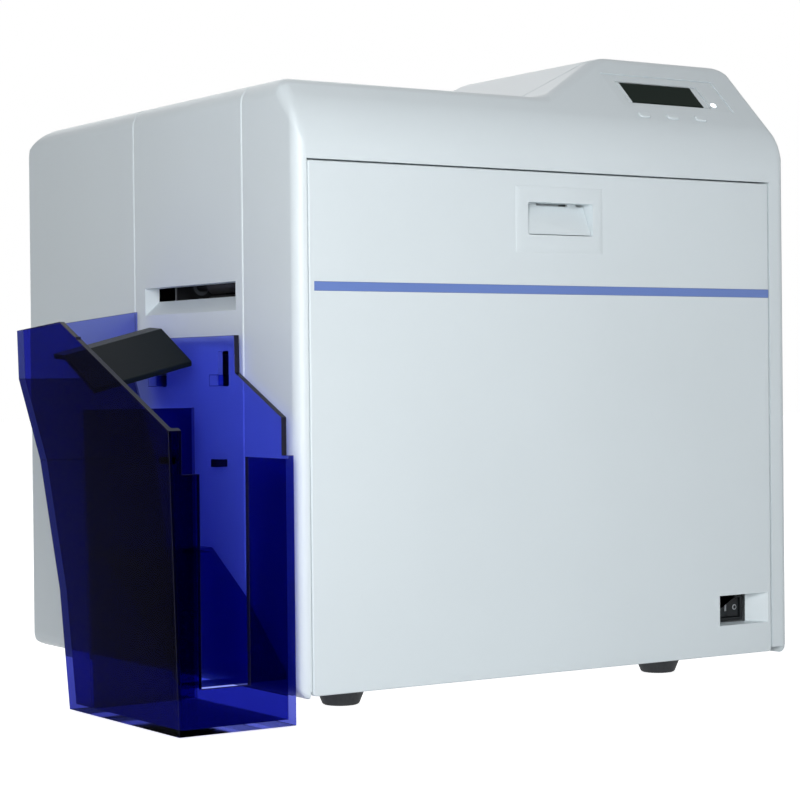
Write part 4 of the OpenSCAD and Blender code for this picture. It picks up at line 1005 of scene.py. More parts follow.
class PRINTER_OT_hopper_lid(bpy.types.Operator):
    """Model the lid over the card hopper with its hinge ears"""

    bl_idname = "printer.hopper_lid"
    bl_label = "Hopper lid"

    def execute(self, context):
        gap = context.scene.printer_enclosure.seam / MM / 2
        end = SEAM_2 - gap
        piece = front_block("hopper_cover", 0, end)
        slice_off(piece, (LID_LEFT, 0, 0), (-1, 0, 0))
        slice_off(piece, (0, LID_FRONT, 0), (0, -1, 0))
        slice_off(piece, (0, 0, LID_FOOT), (0, 0, -1))
        round_edges(piece, lambda e: mids(e)[2] > POD_TOP - 0.05 and (
            mids(e)[0] < LID_LEFT + 0.05 or mids(e)[1] < LID_FRONT + 0.05), 0.8, 3)
        hollow = front_block("hollow", WALL, SEAM_2 + 5)
        slice_off(hollow, (LID_LEFT + 2, 0, 0), (-1, 0, 0))
        slice_off(hollow, (0, LID_FRONT + 2, 0), (0, -1, 0))
        slice_off(hollow, (0, 0, LID_FOOT - 2), (0, 0, -1))
        slice_off(hollow, (0, end - 2, 0), (0, 1, 0))
        combine(piece, hollow)
        y, z = LID_PIN
        for x in LID_POSTS:
            cut(piece, "post_gap", (x - 6.3, SEAM_2 - 5, z - 5), (x, SEAM_2, z + 6))
            outline = [(y - 3, z), (y + 3, z), (y + 3, POD_TOP - 2), (y - 3, POD_TOP - 2)]
            ear = outline_bar("ear", outline, "x", x, x + 6)
            combine(ear, drum("ear_end", (x + 3, y, z), 3, 6, "x", 32), "UNION")
            combine(ear, drum("ear_bore", (x + 3, y, z), 1.55, 12, "x", 24))
            combine(piece, ear, "UNION")
        for x in (265.0, 290.0, 315.0):
            add(piece, "rib", (x, LID_FRONT + 1.5, POD_TOP - 6), (x + 1.5, end - 12, POD_TOP - 2.5))
        finish_moulding(piece, "lid", "hopper_lid")
        return {"FINISHED"}


# ---------------------------------------------------------------- door and latch


class PRINTER_OT_door(bpy.types.Operator):
    """Model the front door with its coloured strip, its flanges and its hinge knuckles"""

    bl_idname = "printer.door"
    bl_label = "Front door"

    def execute(self, context):
        piece = block("door_skin", (DOOR_LEFT, 0, DOOR_FOOT), (DOOR_RIGHT, 3, DOOR_TOP))
        round_edges(piece, lambda e: abs(run_of(e).y) > ACROSS and mids(e)[2] < 50, 2.0, 5)
        round_edges(piece, lambda e: abs(run_of(e).y) > ACROSS and mids(e)[2] > 250, 1.0, 3)
        round_edges(piece, lambda e: mids(e)[1] < 0.05, 0.9, 4)
        ribs = [
            ((DOOR_LEFT, 1.5, 32), (DOOR_LEFT + 2.5, 12, DOOR_TOP - 0.5)),
            ((DOOR_RIGHT - 2.5, 1.5, 32), (DOOR_RIGHT, 12, DOOR_TOP - 0.5)),
            ((DOOR_LEFT, 1.5, DOOR_TOP - 2.5), (DOOR_RIGHT, 12, DOOR_TOP)),
            ((DOOR_LEFT + 0.5, 1.5, 32), (DOOR_RIGHT - 0.5, 9, 34)),
            ((DOOR_LEFT + 0.5, 1.5, 222), (DOOR_RIGHT - 0.5, 7, 224)),
            ((LATCH_X - 29.5, 1.5, 249), (LATCH_X + 29.5, 4.5, 284)),
        ]
        ribs += [((69.5 + 62 * i, 1.5, 33), (71.5 + 62 * i, 7, 223)) for i in range(4)]
        for low, high in ribs:
            add(piece, "rib", low, high)
        for x in HINGES:
            outline = [(1.5, 17), (8, 17), (11, 25), (6, 33), (1.5, 33)]
            web = outline_bar("knuckle", outline, "x", x - 5, x + 5)
            combine(web, drum("barrel", (x, HINGE_Y, HINGE_Z), 5, 10, "x", 40), "UNION")
            combine(piece, web, "UNION")
            combine(piece, drum("pin_hole", (x, HINGE_Y, HINGE_Z), 2.55, 22, "x", 32))
        collar = switch_funnel(2, 10.6)
        slice_off(collar, (0, 1.5, 0), (0, -1, 0))
        combine(piece, collar, "UNION")
        combine(piece, switch_funnel(0, 10.61))
        for z in (62, 140, 220, 240):
            score(piece, (0, 0, z), WAYS["z"])
        for x in (278, 215, 128):
            score(piece, (x, 0, 0), WAYS["x"])
        cut(piece, "latch_hole", (LATCH_X - 27.5, -1, 251), (LATCH_X + 27.5, 6, 282))
        cut(piece, "groove", (DOOR_LEFT + 3, -1, STRIPE_FOOT), (DOOR_RIGHT + 1, 0.5, STRIPE_HEAD))
        for x in TONGUES:
            cut(piece, "tongue_hole", (x - 5, 3.2, 281), (x + 5, 13, 291.8))
        finish_moulding(piece, "door", "front_door", 0.35)
        foot, head = STRIPE_FOOT + 0.05, STRIPE_HEAD - 0.05
        strip = block("coloured_strip", (DOOR_LEFT + 3.05, 0.02, foot), (DOOR_RIGHT, 0.5, head))
        round_edges(strip, lambda e: mids(e)[1] < 0.1, 0.25, 3)
        shade_only(strip)
        deliver(strip, "stripe", "door", "stripe_film", "door_stripe")
        return {"FINISHED"}


class PRINTER_OT_latch(bpy.types.Operator):
    """Model the raised latch frame and the scooped finger paddle"""

    bl_idname = "printer.latch"
    bl_label = "Door latch"

    def execute(self, context):
        x = LATCH_X
        piece = block("latch_frame", (x - 30.5, 0, 248), (x + 30.5, 0.6, 285))
        open_edit(piece)
        choose(piece, "FACE", lambda f: f.normal.y < -ACROSS)
        bpy.ops.mesh.inset(thickness=0.0005, depth=0.0002)
        bpy.ops.mesh.inset(thickness=0.0032, depth=0.0010)
        close_edit()
        shift(piece, lambda a, b, c: b > 0.5, (0, -0.55, 0))
        add(piece, "sleeve", (x - 27.2, -0.5, 251.3), (x + 27.2, 14, 281.7))
        pocket = block("pocket", (x - 22.75, -3, 257.9), (x + 22.75, 12.4, 276))
        round_along(pocket, "y", 1.2, 4)
        combine(piece, pocket)
        for tongue in TONGUES:
            cut(piece, "tongue_gap", (tongue - 5, 5, 269), (tongue + 5, 15, 284))
        finish_moulding(piece, "door", "latch_bezel", 0.4, 3, 25)

        outline = [(0.5, 258.4), (5.2, 258.4), (9.2, 274.8), (7, 274.8), (0.5, 262.0)]
        paddle = outline_bar("finger_paddle", outline, "x", x - 22.4, x + 22.4)
        shift(paddle, lambda px, py, pz: px < x and py < 1 and pz > 260, (0, 1.7, 5.2))
        shift(paddle, lambda px, py, pz: px > x and py < 1 and pz > 260, (0, 0, -2.4))
        combine(paddle, drum("pivot", (x, 3.4, 260.6), 1.4, 49.4, "x", 24), "UNION")
        for tongue in TONGUES:
            outline = [
                (7, 272), (9.2, 272), (9.2, 284.5), (19.2, 284.5), (20.2, 285.5), (20.2, 286.5),
                (7, 286.5)
            ]
            hook = outline_bar("tongue", outline, "x", tongue - 3, tongue + 3)
            combine(paddle, hook, "UNION")
        finish_moulding(paddle, "latch", "latch_paddle", 0.5, 3, 22)
        return {"FINISHED"}


# ---------------------------------------------------------------- controls and power switch


class PRINTER_OT_controls(bpy.types.Operator):
    """Model the recessed panel, the display, the three keys and the lamp"""

    bl_idname = "printer.controls"
    bl_label = "Controls"

    def execute(self, context):
        left, right, foot, head = BEZEL
        piece = block(
            "control_panel", (left + 0.1, foot + 0.1, -1.6), (right - 0.1, head - 0.1, -0.5)
        )
        round_edges(piece, lambda e: mids(e)[2] > -0.6, 0.5, 3)
        left, right, foot, head = DISPLAY
        opening = block("opening", (left - 0.7, foot - 0.7, -5), (right + 0.7, head + 0.7, 1))
        open_edit(opening)
        choose(opening, "FACE", lambda f: f.normal.z > ACROSS)
        bpy.ops.transform.translate(value=(0, 0, -0.00149))
        close_edit()
        combine(piece, opening)
        combine(piece, drum("lamp_hole", (LAMP_X, LAMP_S, -1), 1.9, 6, "z", 32))
        on_slope(piece)
        soften(piece, 0.15, 2, 40)
        deliver(piece, "panel", "body", "shell_plastic", "display_bezel")

        glass = block(
            "display_window", (left + 0.1, foot + 0.1, -3), (right - 0.1, head - 0.1, -0.9)
        )
        open_edit(glass)
        choose(glass, "FACE", lambda f: f.normal.z > ACROSS)
        bpy.ops.mesh.inset(thickness=0.0003, depth=0.0002)
        bpy.ops.mesh.inset(thickness=0.0022, depth=0)
        bpy.ops.mesh.inset(thickness=0.0002, depth=-0.00012)
        close_edit()
        pane = left + RIM_LEFT, right - RIM_RIGHT
        for edge in pane:
            score(glass, (edge, 0, 0), WAYS["x"])
        on_slope(glass)
        shade_only(glass)
        coloured(glass, "window")
        paint(glass, "screen", lambda x, y, z, n: n.z > 0.5 and n.y < -0.5 and (
            SCREEN_LEFT < x < SCREEN_RIGHT))
        paint(glass, "panel", lambda x, y, z, n: x < pane[0] or x > pane[1])
        set_out(glass, "body", "window_black", "display_window")

        wide, deep = KEY_HALF
        for x, body, node in zip(
            BUTTONS, ("left_key", "middle_key", "right_key"),
            ("button_left", "button_middle", "button_right")
        ):
            name = node.replace("button", "key")
            low, high = BUTTON_S - deep, BUTTON_S + deep
            key = block(name, (x - wide, low, -4), (x + wide, high, 0.55))
            round_along(key, "z", 1.9, 5)
            open_edit(key)
            choose(key, "FACE", lambda f: f.normal.z > ACROSS)
            bpy.ops.mesh.inset(thickness=0.0005, depth=0.00035)
            close_edit()
            add(key, "flange", (x - wide - 1, low, -4.1), (x + wide + 1, high, -3.3))
            on_slope(key)
            soften(key, 0.25, 3, 30)
            deliver(key, "key", body, "shell_plastic", node)

        lamp = drum("lamp_lens", (LAMP_X, LAMP_S, -0.95), 1.75, 1.3, "z", 32)
        open_edit(lamp)
        choose(lamp, "FACE", lambda f: f.normal.z > ACROSS)
        for step, rise in ((0.0005, 0.0003), (0.0005, 0.0002), (0.0004, 0.00007)):
            bpy.ops.mesh.inset(thickness=step, depth=rise)
        close_edit()
        on_slope(lamp)
        shade_only(lamp)
        deliver(lamp, "lamp", "body", "lamp_lens", "status_lamp")
        return {"FINISHED"}


class PRINTER_OT_power_switch(bpy.types.Operator):
    """Model the power switch with its two-faced rocker"""

    bl_idname = "printer.power_switch"
    bl_label = "Power switch"

    def execute(self, context):
        x, z = SWITCH
        piece = block("switch_frame", (x - 11, 11.7, z - 8), (x + 11, 13.6, z + 8))
        round_edges(piece, lambda e: mids(e)[1] < 11.8, 0.6, 3)
        add(piece, "switch_case", (x - 10, 13, z - 7), (x + 10, 36, z + 7))
        cut(piece, "rocker_well", (x - 8.8, 10, z - 5.8), (x + 8.8, 26, z + 5.8))
        combine(piece, drum("pivot_hole", (x, 17, z), 1.2, 15.6, "z", 24))
        for side in (-6, 6):
            add(piece, "blade", (x + side - 2, 35.5, z - 3), (x + side + 2, 43, z - 2))
        tidy_mesh(piece)
        soften(piece, 0.25, 2, 40)
        coloured(piece, "black")
        paint(piece, "steel", lambda px, py, pz, n: py > 36.3)
        set_out(piece, "body", "black_plastic", "switch_housing")

        outline = [
            (x - 8, 12.2), (x - 4, 12.9), (x, 13.8), (x + 4, 12.9), (x + 8, 12.2), (x + 8, 16.5),
            (x + 3, 19.2), (x - 3, 19.2), (x - 8, 16.5)
        ]
        rocker = outline_bar("switch_rocker", outline, "z", z - 5.5, z + 5.5)
        combine(rocker, drum("pin", (x, 17, z), 1.15, 14, "z", 24), "UNION")
        turn = Matrix.Rotation(math.radians(6), 4, "Z")
        centre = at(x, 17, z)
        dash = block("dash", (x - 3.3, 12.4, z - 1.9), (x - 2.3, 13.6, z + 1.9))
        circle = ring("circle", (x + 5.2, 12.72, z), 1.35, 0.32, "y", 40)
        for mark in (dash, circle):
            coloured(mark, "mark")
        coloured(rocker, "black")
        soften(rocker, 0.3, 3, 20)
        rocker = join(rocker, dash, circle)
        rocker.data.transform(Matrix.Translation(centre) @ turn @ Matrix.Translation(-centre))
        set_out(rocker, "rocker", "black_plastic", "power_rocker")
        return {"FINISHED"}


# ---------------------------------------------------------------- stacker


def is_bin_back_painted_light(x, y, z, normal):
    """Whether a face is on the bin's wall beside the machine or on the top of its far wall, which
    are painted paler: painted light where the walls are lit from behind.
    """
    return x > -9.3 and z > 30 or y > 166 and z > 185


class PRINTER_OT_stacker(bpy.types.Operator):
    """Model the clear bin that hangs on the side, with its ramp and its guide"""

    bl_idname = "printer.stacker"
    bl_label = "Card stacker"

    def execute(self, context):
        piece = from_node("clear_bin", "stacker_bin")
        soften(piece, 0.45, 3, 12)
        coloured(piece, "stacker")
        # painted light: the back walls in paler clear plastic
        paint(piece, "back", is_bin_back_painted_light)
        # painted shade: the narrow edge faces near-black
        paint_rim_shade(piece)
        set_out(piece, "stacker", "stacker_blue", "stacker_bin")
        ramp = from_node("clear_ramp", "stacker_ramp")
        soften(ramp, 0.4, 3, 25)
        deliver(ramp, "ramp", "stacker", "ramp_blue", "stacker_ramp")
        guide = from_node("card_flap", "stacker_guide")
        soften(guide, 0.5, 3, 6)
        deliver(guide, "flap", "stacker", "black_plastic", "stacker_guide")
        return {"FINISHED"}


# ---------------------------------------------------------------- underside and rear


SCREW_TURNS = {"z": 0, "-z": math.pi, "y": -math.pi / 2}
FEET_X, FEET_Y = (58.0, 285.0), (54.0, 276.0)
FOOT_SOLE = 10.0  # radius of a foot's lower end
INLET_X, SOCKET_Z = 291, 52.0
INLET_PINS = ((-7, -1), (0, 2), (7, -1))  # from the inlet's middle


def cross_screw(name, x, y, z, radius, height, axis):
    """A pan head screw with a cross recess, its head ending at the given point along the axis."""
    piece = drum(name, (x, y, z - height / 2), radius, height, "z", 32)
    round_edges(piece, lambda e: mids(e)[2] > z - 0.05, height * 0.45, 4)
    for a, b in ((0.62, 0.13), (0.13, 0.62)):
        wide, deep = radius * a, radius * b
        cut(piece, "slot", (x - wide, y - deep, z - height * 0.55), (x + wide, y + deep, z + 1))
    point = at(x, y, z)
    turn = Euler((SCREW_TURNS[axis], 0, 0)).to_matrix().to_4x4()
    piece.data.transform(Matrix.Translation(point) @ turn @ Matrix.Translation(-point))
    return piece


class PRINTER_OT_underside(bpy.types.Operator):
    """Model the rubber feet and the screws"""

    bl_idname = "printer.underside"
    bl_label = "Feet and screws"

    def execute(self, context):
        feet, screws = [], []
        low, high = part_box("rubber_feet")
        head = ((high.x - low.x) / MM - (FEET_X[1] - FEET_X[0])) / 2
        for x in FEET_X:
            for y in FEET_Y:
                foot = drum("foot", (x, y, BOTTOM / 2), FOOT_SOLE, BOTTOM, "z", 64, head)
                round_edges(foot, lambda e: mids(e)[2] < 0.05, 1.2, 4)
                round_edges(foot, lambda e: mids(e)[2] > BOTTOM - 0.05, 0.8, 3)
                combine(foot, drum("recess", (x, y, 1), 4.2, 4.1, "z", 40))
                combine(foot, drum("bore", (x, y, 6), 2.05, 20, "z", 24))
                feet.append(foot)
                shank = drum("shank", (x, y, 8.4), 1.95, 10.6, "z", 24)
                screws.append(join(cross_screw("screw", x, y, 1.5, 3.6, 1.5, "-z"), shank))
        feet = join(*feet)
        feet.name = "rubber_feet_soft"
        shade_only(feet)
        deliver(feet, "foot", "body", "foot_rubber", "rubber_feet")
        for x in (158.0, 318.0):
            for z in (29.0, 85.0):
                screws.append(cross_screw("screw", x, DEPTH - 0.35, z, 2.9, 1.1, "y"))
        screws = join(*screws)
        screws.name = "case_screws_cross"
        shade_only(screws)
        deliver(screws, "pin", "body", "pin_steel", "case_screws")
        return {"FINISHED"}


class PRINTER_OT_rear_sockets(bpy.types.Operator):
    """Model the power inlet, the data socket and the network socket in their steel panel"""

    bl_idname = "printer.rear_sockets"
    bl_label = "Rear sockets"

    def execute(self, context):
        back = DEPTH - 1.5
        z = SOCKET_Z
        parts = []
        inlet = block("inlet", (277.5, back - 22, z - 9.8), (304.5, back + 1, z + 9.8))
        round_along(inlet, "y", 2.5, 5)
        rim = block("rim", (275.5, back, z - 11.8), (306.5, back + 1.3, z + 11.8))
        round_along(rim, "y", 3.5, 5)
        combine(inlet, rim, "UNION")
        mouth = block("mouth", (279.4, back - 17, z - 8), (302.6, back + 3, z + 8))
        round_edges(mouth, lambda e: abs(run_of(e).y) > ACROSS and mids(e)[2] > z, 4.5, 5)
        round_edges(mouth, lambda e: abs(run_of(e).y) > ACROSS and mids(e)[2] < z, 1.5, 4)
        combine(inlet, mouth)
        add(inlet, "core", (283, back - 17.5, z - 4.5), (299, back - 6, z + 5))
        pins = [(INLET_X + across, z + up) for across, up in INLET_PINS]
        for x, height in pins:
            cut(
                inlet, "slit", (x - 1.3, back - 12, height - 2.6), (x + 1.3, back + 1, height + 2.6)
            )
        soften(inlet, 0.3, 2, 40)
        parts.append(coloured(inlet, "black"))
        for x, height in pins:
            pin = block(
                "pin", (x - 0.9, back - 14, height - 1.9), (x + 0.9, back - 5, height + 1.9)
            )
            parts.append(coloured(edge_round(pin, 0.3), "pin"))
        for x, half, tall, inner in ((183, 6.0, 5.4, 2.6), (213, 8.0, 6.8, 0)):
            shell = block(
                "socket_shell", (x - half, back - 16, z - tall), (x + half, back + 0.8, z + tall)
            )
            cut(
                shell, "socket_mouth", (x - half + 0.8, back - 13, z - tall + 0.8),
                (x + half - 0.8, back + 2, z + tall - 0.8)
            )
            edge_round(shell, 0.25, 2)
            parts.append(coloured(shell, "pin"))
            if inner:
                tongue = block(
                    "tongue", (x - inner, back - 13.2, z - inner + 0.4),
                    (x + inner, back - 2, z + inner - 0.4)
                )
                parts.append(coloured(edge_round(tongue, 0.3, 2), "mark"))
            else:
                lining = block(
                    "lining", (x - 7, back - 13.2, z - 5.8), (x + 7, back - 0.6, z + 5.8)
                )
                cut(lining, "jack", (x - 5.8, back - 11, z - 4.4), (x + 5.8, back + 1, z + 2.6))
                cut(lining, "key_way", (x - 3.0, back - 11, z + 2), (x + 3.0, back + 1, z + 5.0))
                parts.append(coloured(edge_round(lining, 0.2, 2), "black"))
                contact = block(
                    "contacts", (x - 3.7, back - 9, z - 4.3), (x - 3.2, back - 1.6, z - 3.6)
                )
                parts.append(coloured(in_rows(contact, (0.98, 0, 0), 8), "gold"))
        sockets = join(*parts)
        sockets.name = "rear_connectors"
        shade_only(sockets)
        set_out(sockets, "body", "black_plastic", "rear_sockets")

        panel = from_node("connector_plate", "connector_panel")
        soften(panel, 0.35, 2, 40)
        deliver(panel, "steel", "body", "sheet_steel", "connector_panel")
        return {"FINISHED"}


class PRINTER_OT_fan(bpy.types.Operator):
    """Model the cooling fan behind the rear vents"""

    bl_idname = "printer.fan"
    bl_label = "Fan"

    def execute(self, context):
        for name, node, body in (
            ("fan_housing", "fan_frame", "body"), ("fan_impeller", "fan_rotor", "fan")
        ):
            piece = from_node(name, node)
            soften(piece, 0.25, 2, 40)
            deliver(piece, "black", body, "black_plastic", node)
        return {"FINISHED"}


# ---------------------------------------------------------------- works

# the axes of the turning parts, and where along them the card and the toothed wheels run
EXIT_X, FILM_X, HEAT_X, FLIPPER_X, PLATEN_X = 26, 62, 80, 150, 165
FEED_X, CLEANER_X, RIBBON_X, PICK_X = 214, 232, 263, 293
UNDER_CARD, OVER_CARD = 221.6, 233.4
FLIPPER_Z, PLATEN_Z = 228, 150
FLIPPER_WHEEL_Z, PLATEN_WHEEL_Z = 250.5, 127.5
FULL_Z, SPENT_Z = 160, 85
CARD_START, CARD_END = 79, 135
WHEEL_START, WHEEL_END = 142.9, 148.1
PULLEY_START, PULLEY_END = 160, 168
BOARD_TOP = 23.6
BOARD_SCREWS = ((26, 188), (26, 298), (144, 188), (144, 298))


def stand_for(piece, node):
    """Put a piece on its CAD node's body, in the node's place."""
    bodies = frame["record"]["behaviour"]["bodies"]
    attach(piece, next(b for b, names in bodies.items() if node in names))
    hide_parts(node)
    return piece


def eased_copy(node, name, finish, width):
    """A node's own form with its edges eased and one finish all over."""
    piece = from_node(name, node)
    soften(piece, width)
    coloured(piece, finish)
    for polygon in piece.data.polygons:
        polygon.material_index = 0
    return piece


def spindle(name, node, x, z, *parts):
    """Round parts on one line along Y, each a finish, a radius, a start, an end and a rounding."""
    made = []
    for finish, radius, start, end, ease in parts:
        part = drum(finish, (x, (start + end) / 2, z), radius, end - start, "y", 48)
        if ease:
            round_edges(
                part, lambda e: min(abs(mids(e)[1] - start), abs(mids(e)[1] - end)) < 0.02, ease, 3
            )
        made.append(coloured(part, finish))
    piece = join(*made)
    piece.name = name
    shade_only(piece)
    return stand_for(piece, node)


def toothed_pulley(x, z, start, end):
    """Belt pulley with round-bottomed grooves between two plain rims."""
    outline = []
    for i in range(80):
        angle = 2 * math.pi * i / 80
        radius = (6.95, 6.95, 6.25, 6.25)[i % 4]
        outline.append((x + radius * math.cos(angle), z + radius * math.sin(angle)))
    rims = [drum("rim", (x, y, z), 6.98, 0.6, "y", 64) for y in (start + 0.3, end - 0.3)]
    pulley = join(outline_bar("pulley", outline, "y", start + 0.6, end - 0.6), *rims)
    return coloured(pulley, "alloy")


def shaft_parts(start, end, radius=3.0, finish="pin"):
    """A shaft with a clip groove near its front end."""
    return (
        (finish, radius, start, start + 0.7, 0.3),
        (finish, radius * 0.8, start + 0.6, start + 1.2, 0),
        (finish, radius, start + 1.1, end, 0.3),
    )


def shaft_finish(x):
    """Dark steel, painted shade, for the two shafts seen through the card outlet, bright steel for
    the others.
    """
    return "dark" if x == EXIT_X else "pin"


def toothed(x, z, bore):
    """A test for the faces of a toothed wheel about an axis, outside its bore."""
    return lambda a, y, c, n: WHEEL_START < y < WHEEL_END and math.hypot(a - x, c - z) > bore


def add_to(piece, *parts):
    """Join more parts onto a piece that has been set out."""
    name = piece.name
    join(piece, *parts)
    piece.name = name
    shade_only(piece)
    return piece


class PRINTER_OT_chassis(bpy.types.Operator):
    """Model the base pan, the two upright plates and what is fixed between them"""

    bl_idname = "printer.chassis"
    bl_label = "Chassis"

    def execute(self, context):
        for node, name, finish, width in (
            ("base_pan", "pressed_base", "steel", 0.4),
            ("front_plate", "front_upright", "steel", 0.25),
            # the rear plate in dark steel: painted shade where it is seen through the card outlet
            ("rear_plate", "rear_upright", "dark", 0.25),
            ("spacer_rods", "turned_spacers", "pin", 0.35),
            # the bronze bushes in dark grey plastic: painted shade where they are seen through the
            # card outlet
            ("shaft_bushes", "sintered_bushes", "cassette", 0.15),
            ("hinge_pins", "steel_hinge_pins", "pin", 0.3),
            ("card_hopper", "card_tray", "black", 0.5),
            ("card_weight", "sprung_weight", "alloy", 0.5),
            ("card_guides", "card_rails", "black", 0.35),
        ):
            stand_for(eased_copy(node, name, finish, width), node)
        return {"FINISHED"}


class PRINTER_OT_rollers(bpy.types.Operator):
    """Model the rubber rollers on their steel shafts"""

    bl_idname = "printer.rollers"
    bl_label = "Rollers"

    def execute(self, context):
        for node, name, x, z, radius, finish in (
            ("pinch_roller", "pinch_sleeve", FEED_X, OVER_CARD, 5, "roller"),
            ("cleaning_roller", "tacky_sleeve", CLEANER_X, 236.4, 8, "tacky"),
            ("heat_roller", "heated_sleeve", HEAT_X, 241.4, 13, "silicone"),
            ("backup_roller", "backup_sleeve", HEAT_X, 216.6, 11, "silicone"),
            ("exit_pinch_roller", "exit_pinch_sleeve", EXIT_X, OVER_CARD, 5, "roller"),
        ):
            sleeve = (finish, radius, CARD_START, CARD_END, 0.5)
            spindle(name, node, x, z, *shaft_parts(59, 155, 3.0, shaft_finish(x)), sleeve)
        for node, name, x, end in (
            ("feed_roller", "feed_sleeve", FEED_X, 177), ("exit_roller", "exit_sleeve", EXIT_X, 160)
        ):
            sleeve = ("roller", 6, CARD_START, CARD_END, 0.5)
            shaft = shaft_parts(59, end, 3.0, shaft_finish(x))
            piece = spindle(name, node, x, UNDER_CARD, *shaft, sleeve)
            add_to(piece, toothed_pulley(x, UNDER_CARD, PULLEY_START, PULLEY_END))
        piece = spindle(
            "pick_tyres", "pick_roller", PICK_X, UNDER_CARD, *shaft_parts(59, 160),
            ("roller", 5.7, 87, 97, 0.8), ("roller", 5.7, 117, 127, 0.8),
            ("gear", 4.4, 97, 117, 0.2)
        )
        add_to(piece, toothed_pulley(PICK_X, UNDER_CARD, PULLEY_START, PULLEY_END))
        for node, name, z in (
            ("flipper_drive_roller", "flip_drive_sleeve", 222.6),
            ("flipper_idle_roller", "flip_idle_sleeve", OVER_CARD),
        ):
            sleeve = ("roller", 5, CARD_START, CARD_END, 0.5)
            spindle(name, node, FLIPPER_X, z, *shaft_parts(72.1, 141.9, 2.5), sleeve)
        return {"FINISHED"}


class PRINTER_OT_gears(bpy.types.Operator):
    """Model the card flipper, the platen, the toothed wheels and the belt"""

    bl_idname = "printer.gears"
    bl_label = "Flipper and gears"

    def execute(self, context):
        flipper = eased_copy("flipper", "card_flipper", "black", 0.2)
        paint(flipper, "gear", toothed(FLIPPER_X, FLIPPER_Z, 12.5))
        paint(flipper, "pin", lambda x, y, z, n: y < 71.9 or y > 148.2)
        stand_for(flipper, "flipper")
        platen = eased_copy("platen_roller", "print_platen", "pin", 0.12)
        paint(platen, "roller", lambda x, y, z, n: CARD_START - 0.1 < y < CARD_END + 0.1 and (
            math.hypot(x - PLATEN_X, z - PLATEN_Z) > 3.3))
        paint(platen, "gear", toothed(PLATEN_X, PLATEN_Z, 3.3))
        stand_for(platen, "platen_roller")
        for node, name, x, z in (
            ("flipper_pinion", "flipper_drive_wheel", FLIPPER_X, FLIPPER_WHEEL_Z),
            ("platen_pinion", "platen_drive_wheel", PLATEN_X, PLATEN_WHEEL_Z),
        ):
            wheel = eased_copy(node, name, "pin", 0.12)
            paint(wheel, "gear", toothed(x, z, 2.7))
            stand_for(wheel, node)
        stand_for(eased_copy("feed_belt", "timing_belt", "belt", 0.2), "feed_belt")
        return {"FINISHED"}


class PRINTER_OT_print_head(bpy.types.Operator):
    """Model the print head with its ceramic strip and its fins"""

    bl_idname = "printer.print_head"
    bl_label = "Print head"

    def execute(self, context):
        piece = eased_copy("print_head", "thermal_head", "alloy", 0.2)
        paint(piece, "ceramic", lambda x, y, z, n: x < 182.75 and CARD_START < y < CARD_END)
        paint(piece, "steel", lambda x, y, z, n: y < 77.05 or y > 136.95)
        stand_for(piece, "print_head")
        return {"FINISHED"}


class PRINTER_OT_cassettes(bpy.types.Operator):
    """Model the ribbon and film cassettes and their four wound spools"""

    bl_idname = "printer.cassettes"
    bl_label = "Cassettes"

    def execute(self, context):
        for node, name, x in (
            ("ribbon_cassette", "ribbon_carrier", RIBBON_X),
            ("film_cassette", "film_carrier", FILM_X)
        ):
            piece = from_node(name, node)
            groove = in_rows(
                block("grip", (x - 12.4, 56, 108.9), (x - 11.4, 56.5, 115.1)), (3, 0, 0), 8
            )
            combine(piece, groove)
            for foot in (57, 176):
                cut(piece, "relief", (x - 33, 57.5, foot), (x + 33, 58.1, foot + 13))
            soften(piece, 0.35, 2, 40)
            coloured(piece, "cassette")
            stand_for(piece, node)
        for node, name, x, z, radius, wound in (
            ("ribbon_supply", "ribbon_full", RIBBON_X, FULL_Z, 22, "ribbon"),
            ("ribbon_takeup", "ribbon_spent", RIBBON_X, SPENT_Z, 18, "ribbon"),
            ("film_supply", "film_full", FILM_X, FULL_Z, 26, "film"),
            ("film_takeup", "film_spent", FILM_X, SPENT_Z, 20, "film"),
        ):
            parts = [
                ("spool", 5, 57, 149.5, 0.6), ("spool", 8, 66, 78.5, 0.5),
                ("spool", 8, 135.5, 145, 0.5), (wound, radius, CARD_START, CARD_END, 0.15),
                (wound, radius - 2.5, CARD_START - 0.2, CARD_END + 0.2, 0.1),
            ]
            if z == SPENT_Z:
                parts.append(("pin", 2.5, 149.2, 157, 0.2))
            spindle(name, node, x, z, *parts)
        return {"FINISHED"}


def is_end_cap(x, y, z, normal):
    """Whether a face is on the cap at a motor's rear end."""
    upper = z > HALFWAY and x < 200 and 174.1 < y < 181
    lower = z < HALFWAY and 168.1 < y < 175
    return y > 194.1 or upper or lower


class PRINTER_OT_motors(bpy.types.Operator):
    """Model the five drive motors behind the rear plate"""

    bl_idname = "printer.motors"
    bl_label = "Motors"

    def execute(self, context):
        piece = from_node("geared_motors", "drive_motors")
        for x, y, z, radius in (
            (FLIPPER_X, 180, FLIPPER_WHEEL_Z, 16), (PLATEN_X, 180, PLATEN_WHEEL_Z, 16),
            (FEED_X, 200, UNDER_CARD, 16), (FILM_X, 174, SPENT_Z, 14), (RIBBON_X, 174, SPENT_Z, 14),
        ):
            combine(piece, ring("cap_line", (x, y - 6, z), radius, 0.35, "y", 96))
            combine(piece, ring("boss_line", (x, y, z), 6.5, 0.5, "y", 64))
            combine(piece, drum("centre", (x, y, z), 3.2, 1.2, "y", 32))
        soften(piece, 0.25, 2, 40)
        coloured(piece, "steel")
        paint(piece, "black", is_end_cap)
        stand_for(piece, "drive_motors")
        return {"FINISHED"}


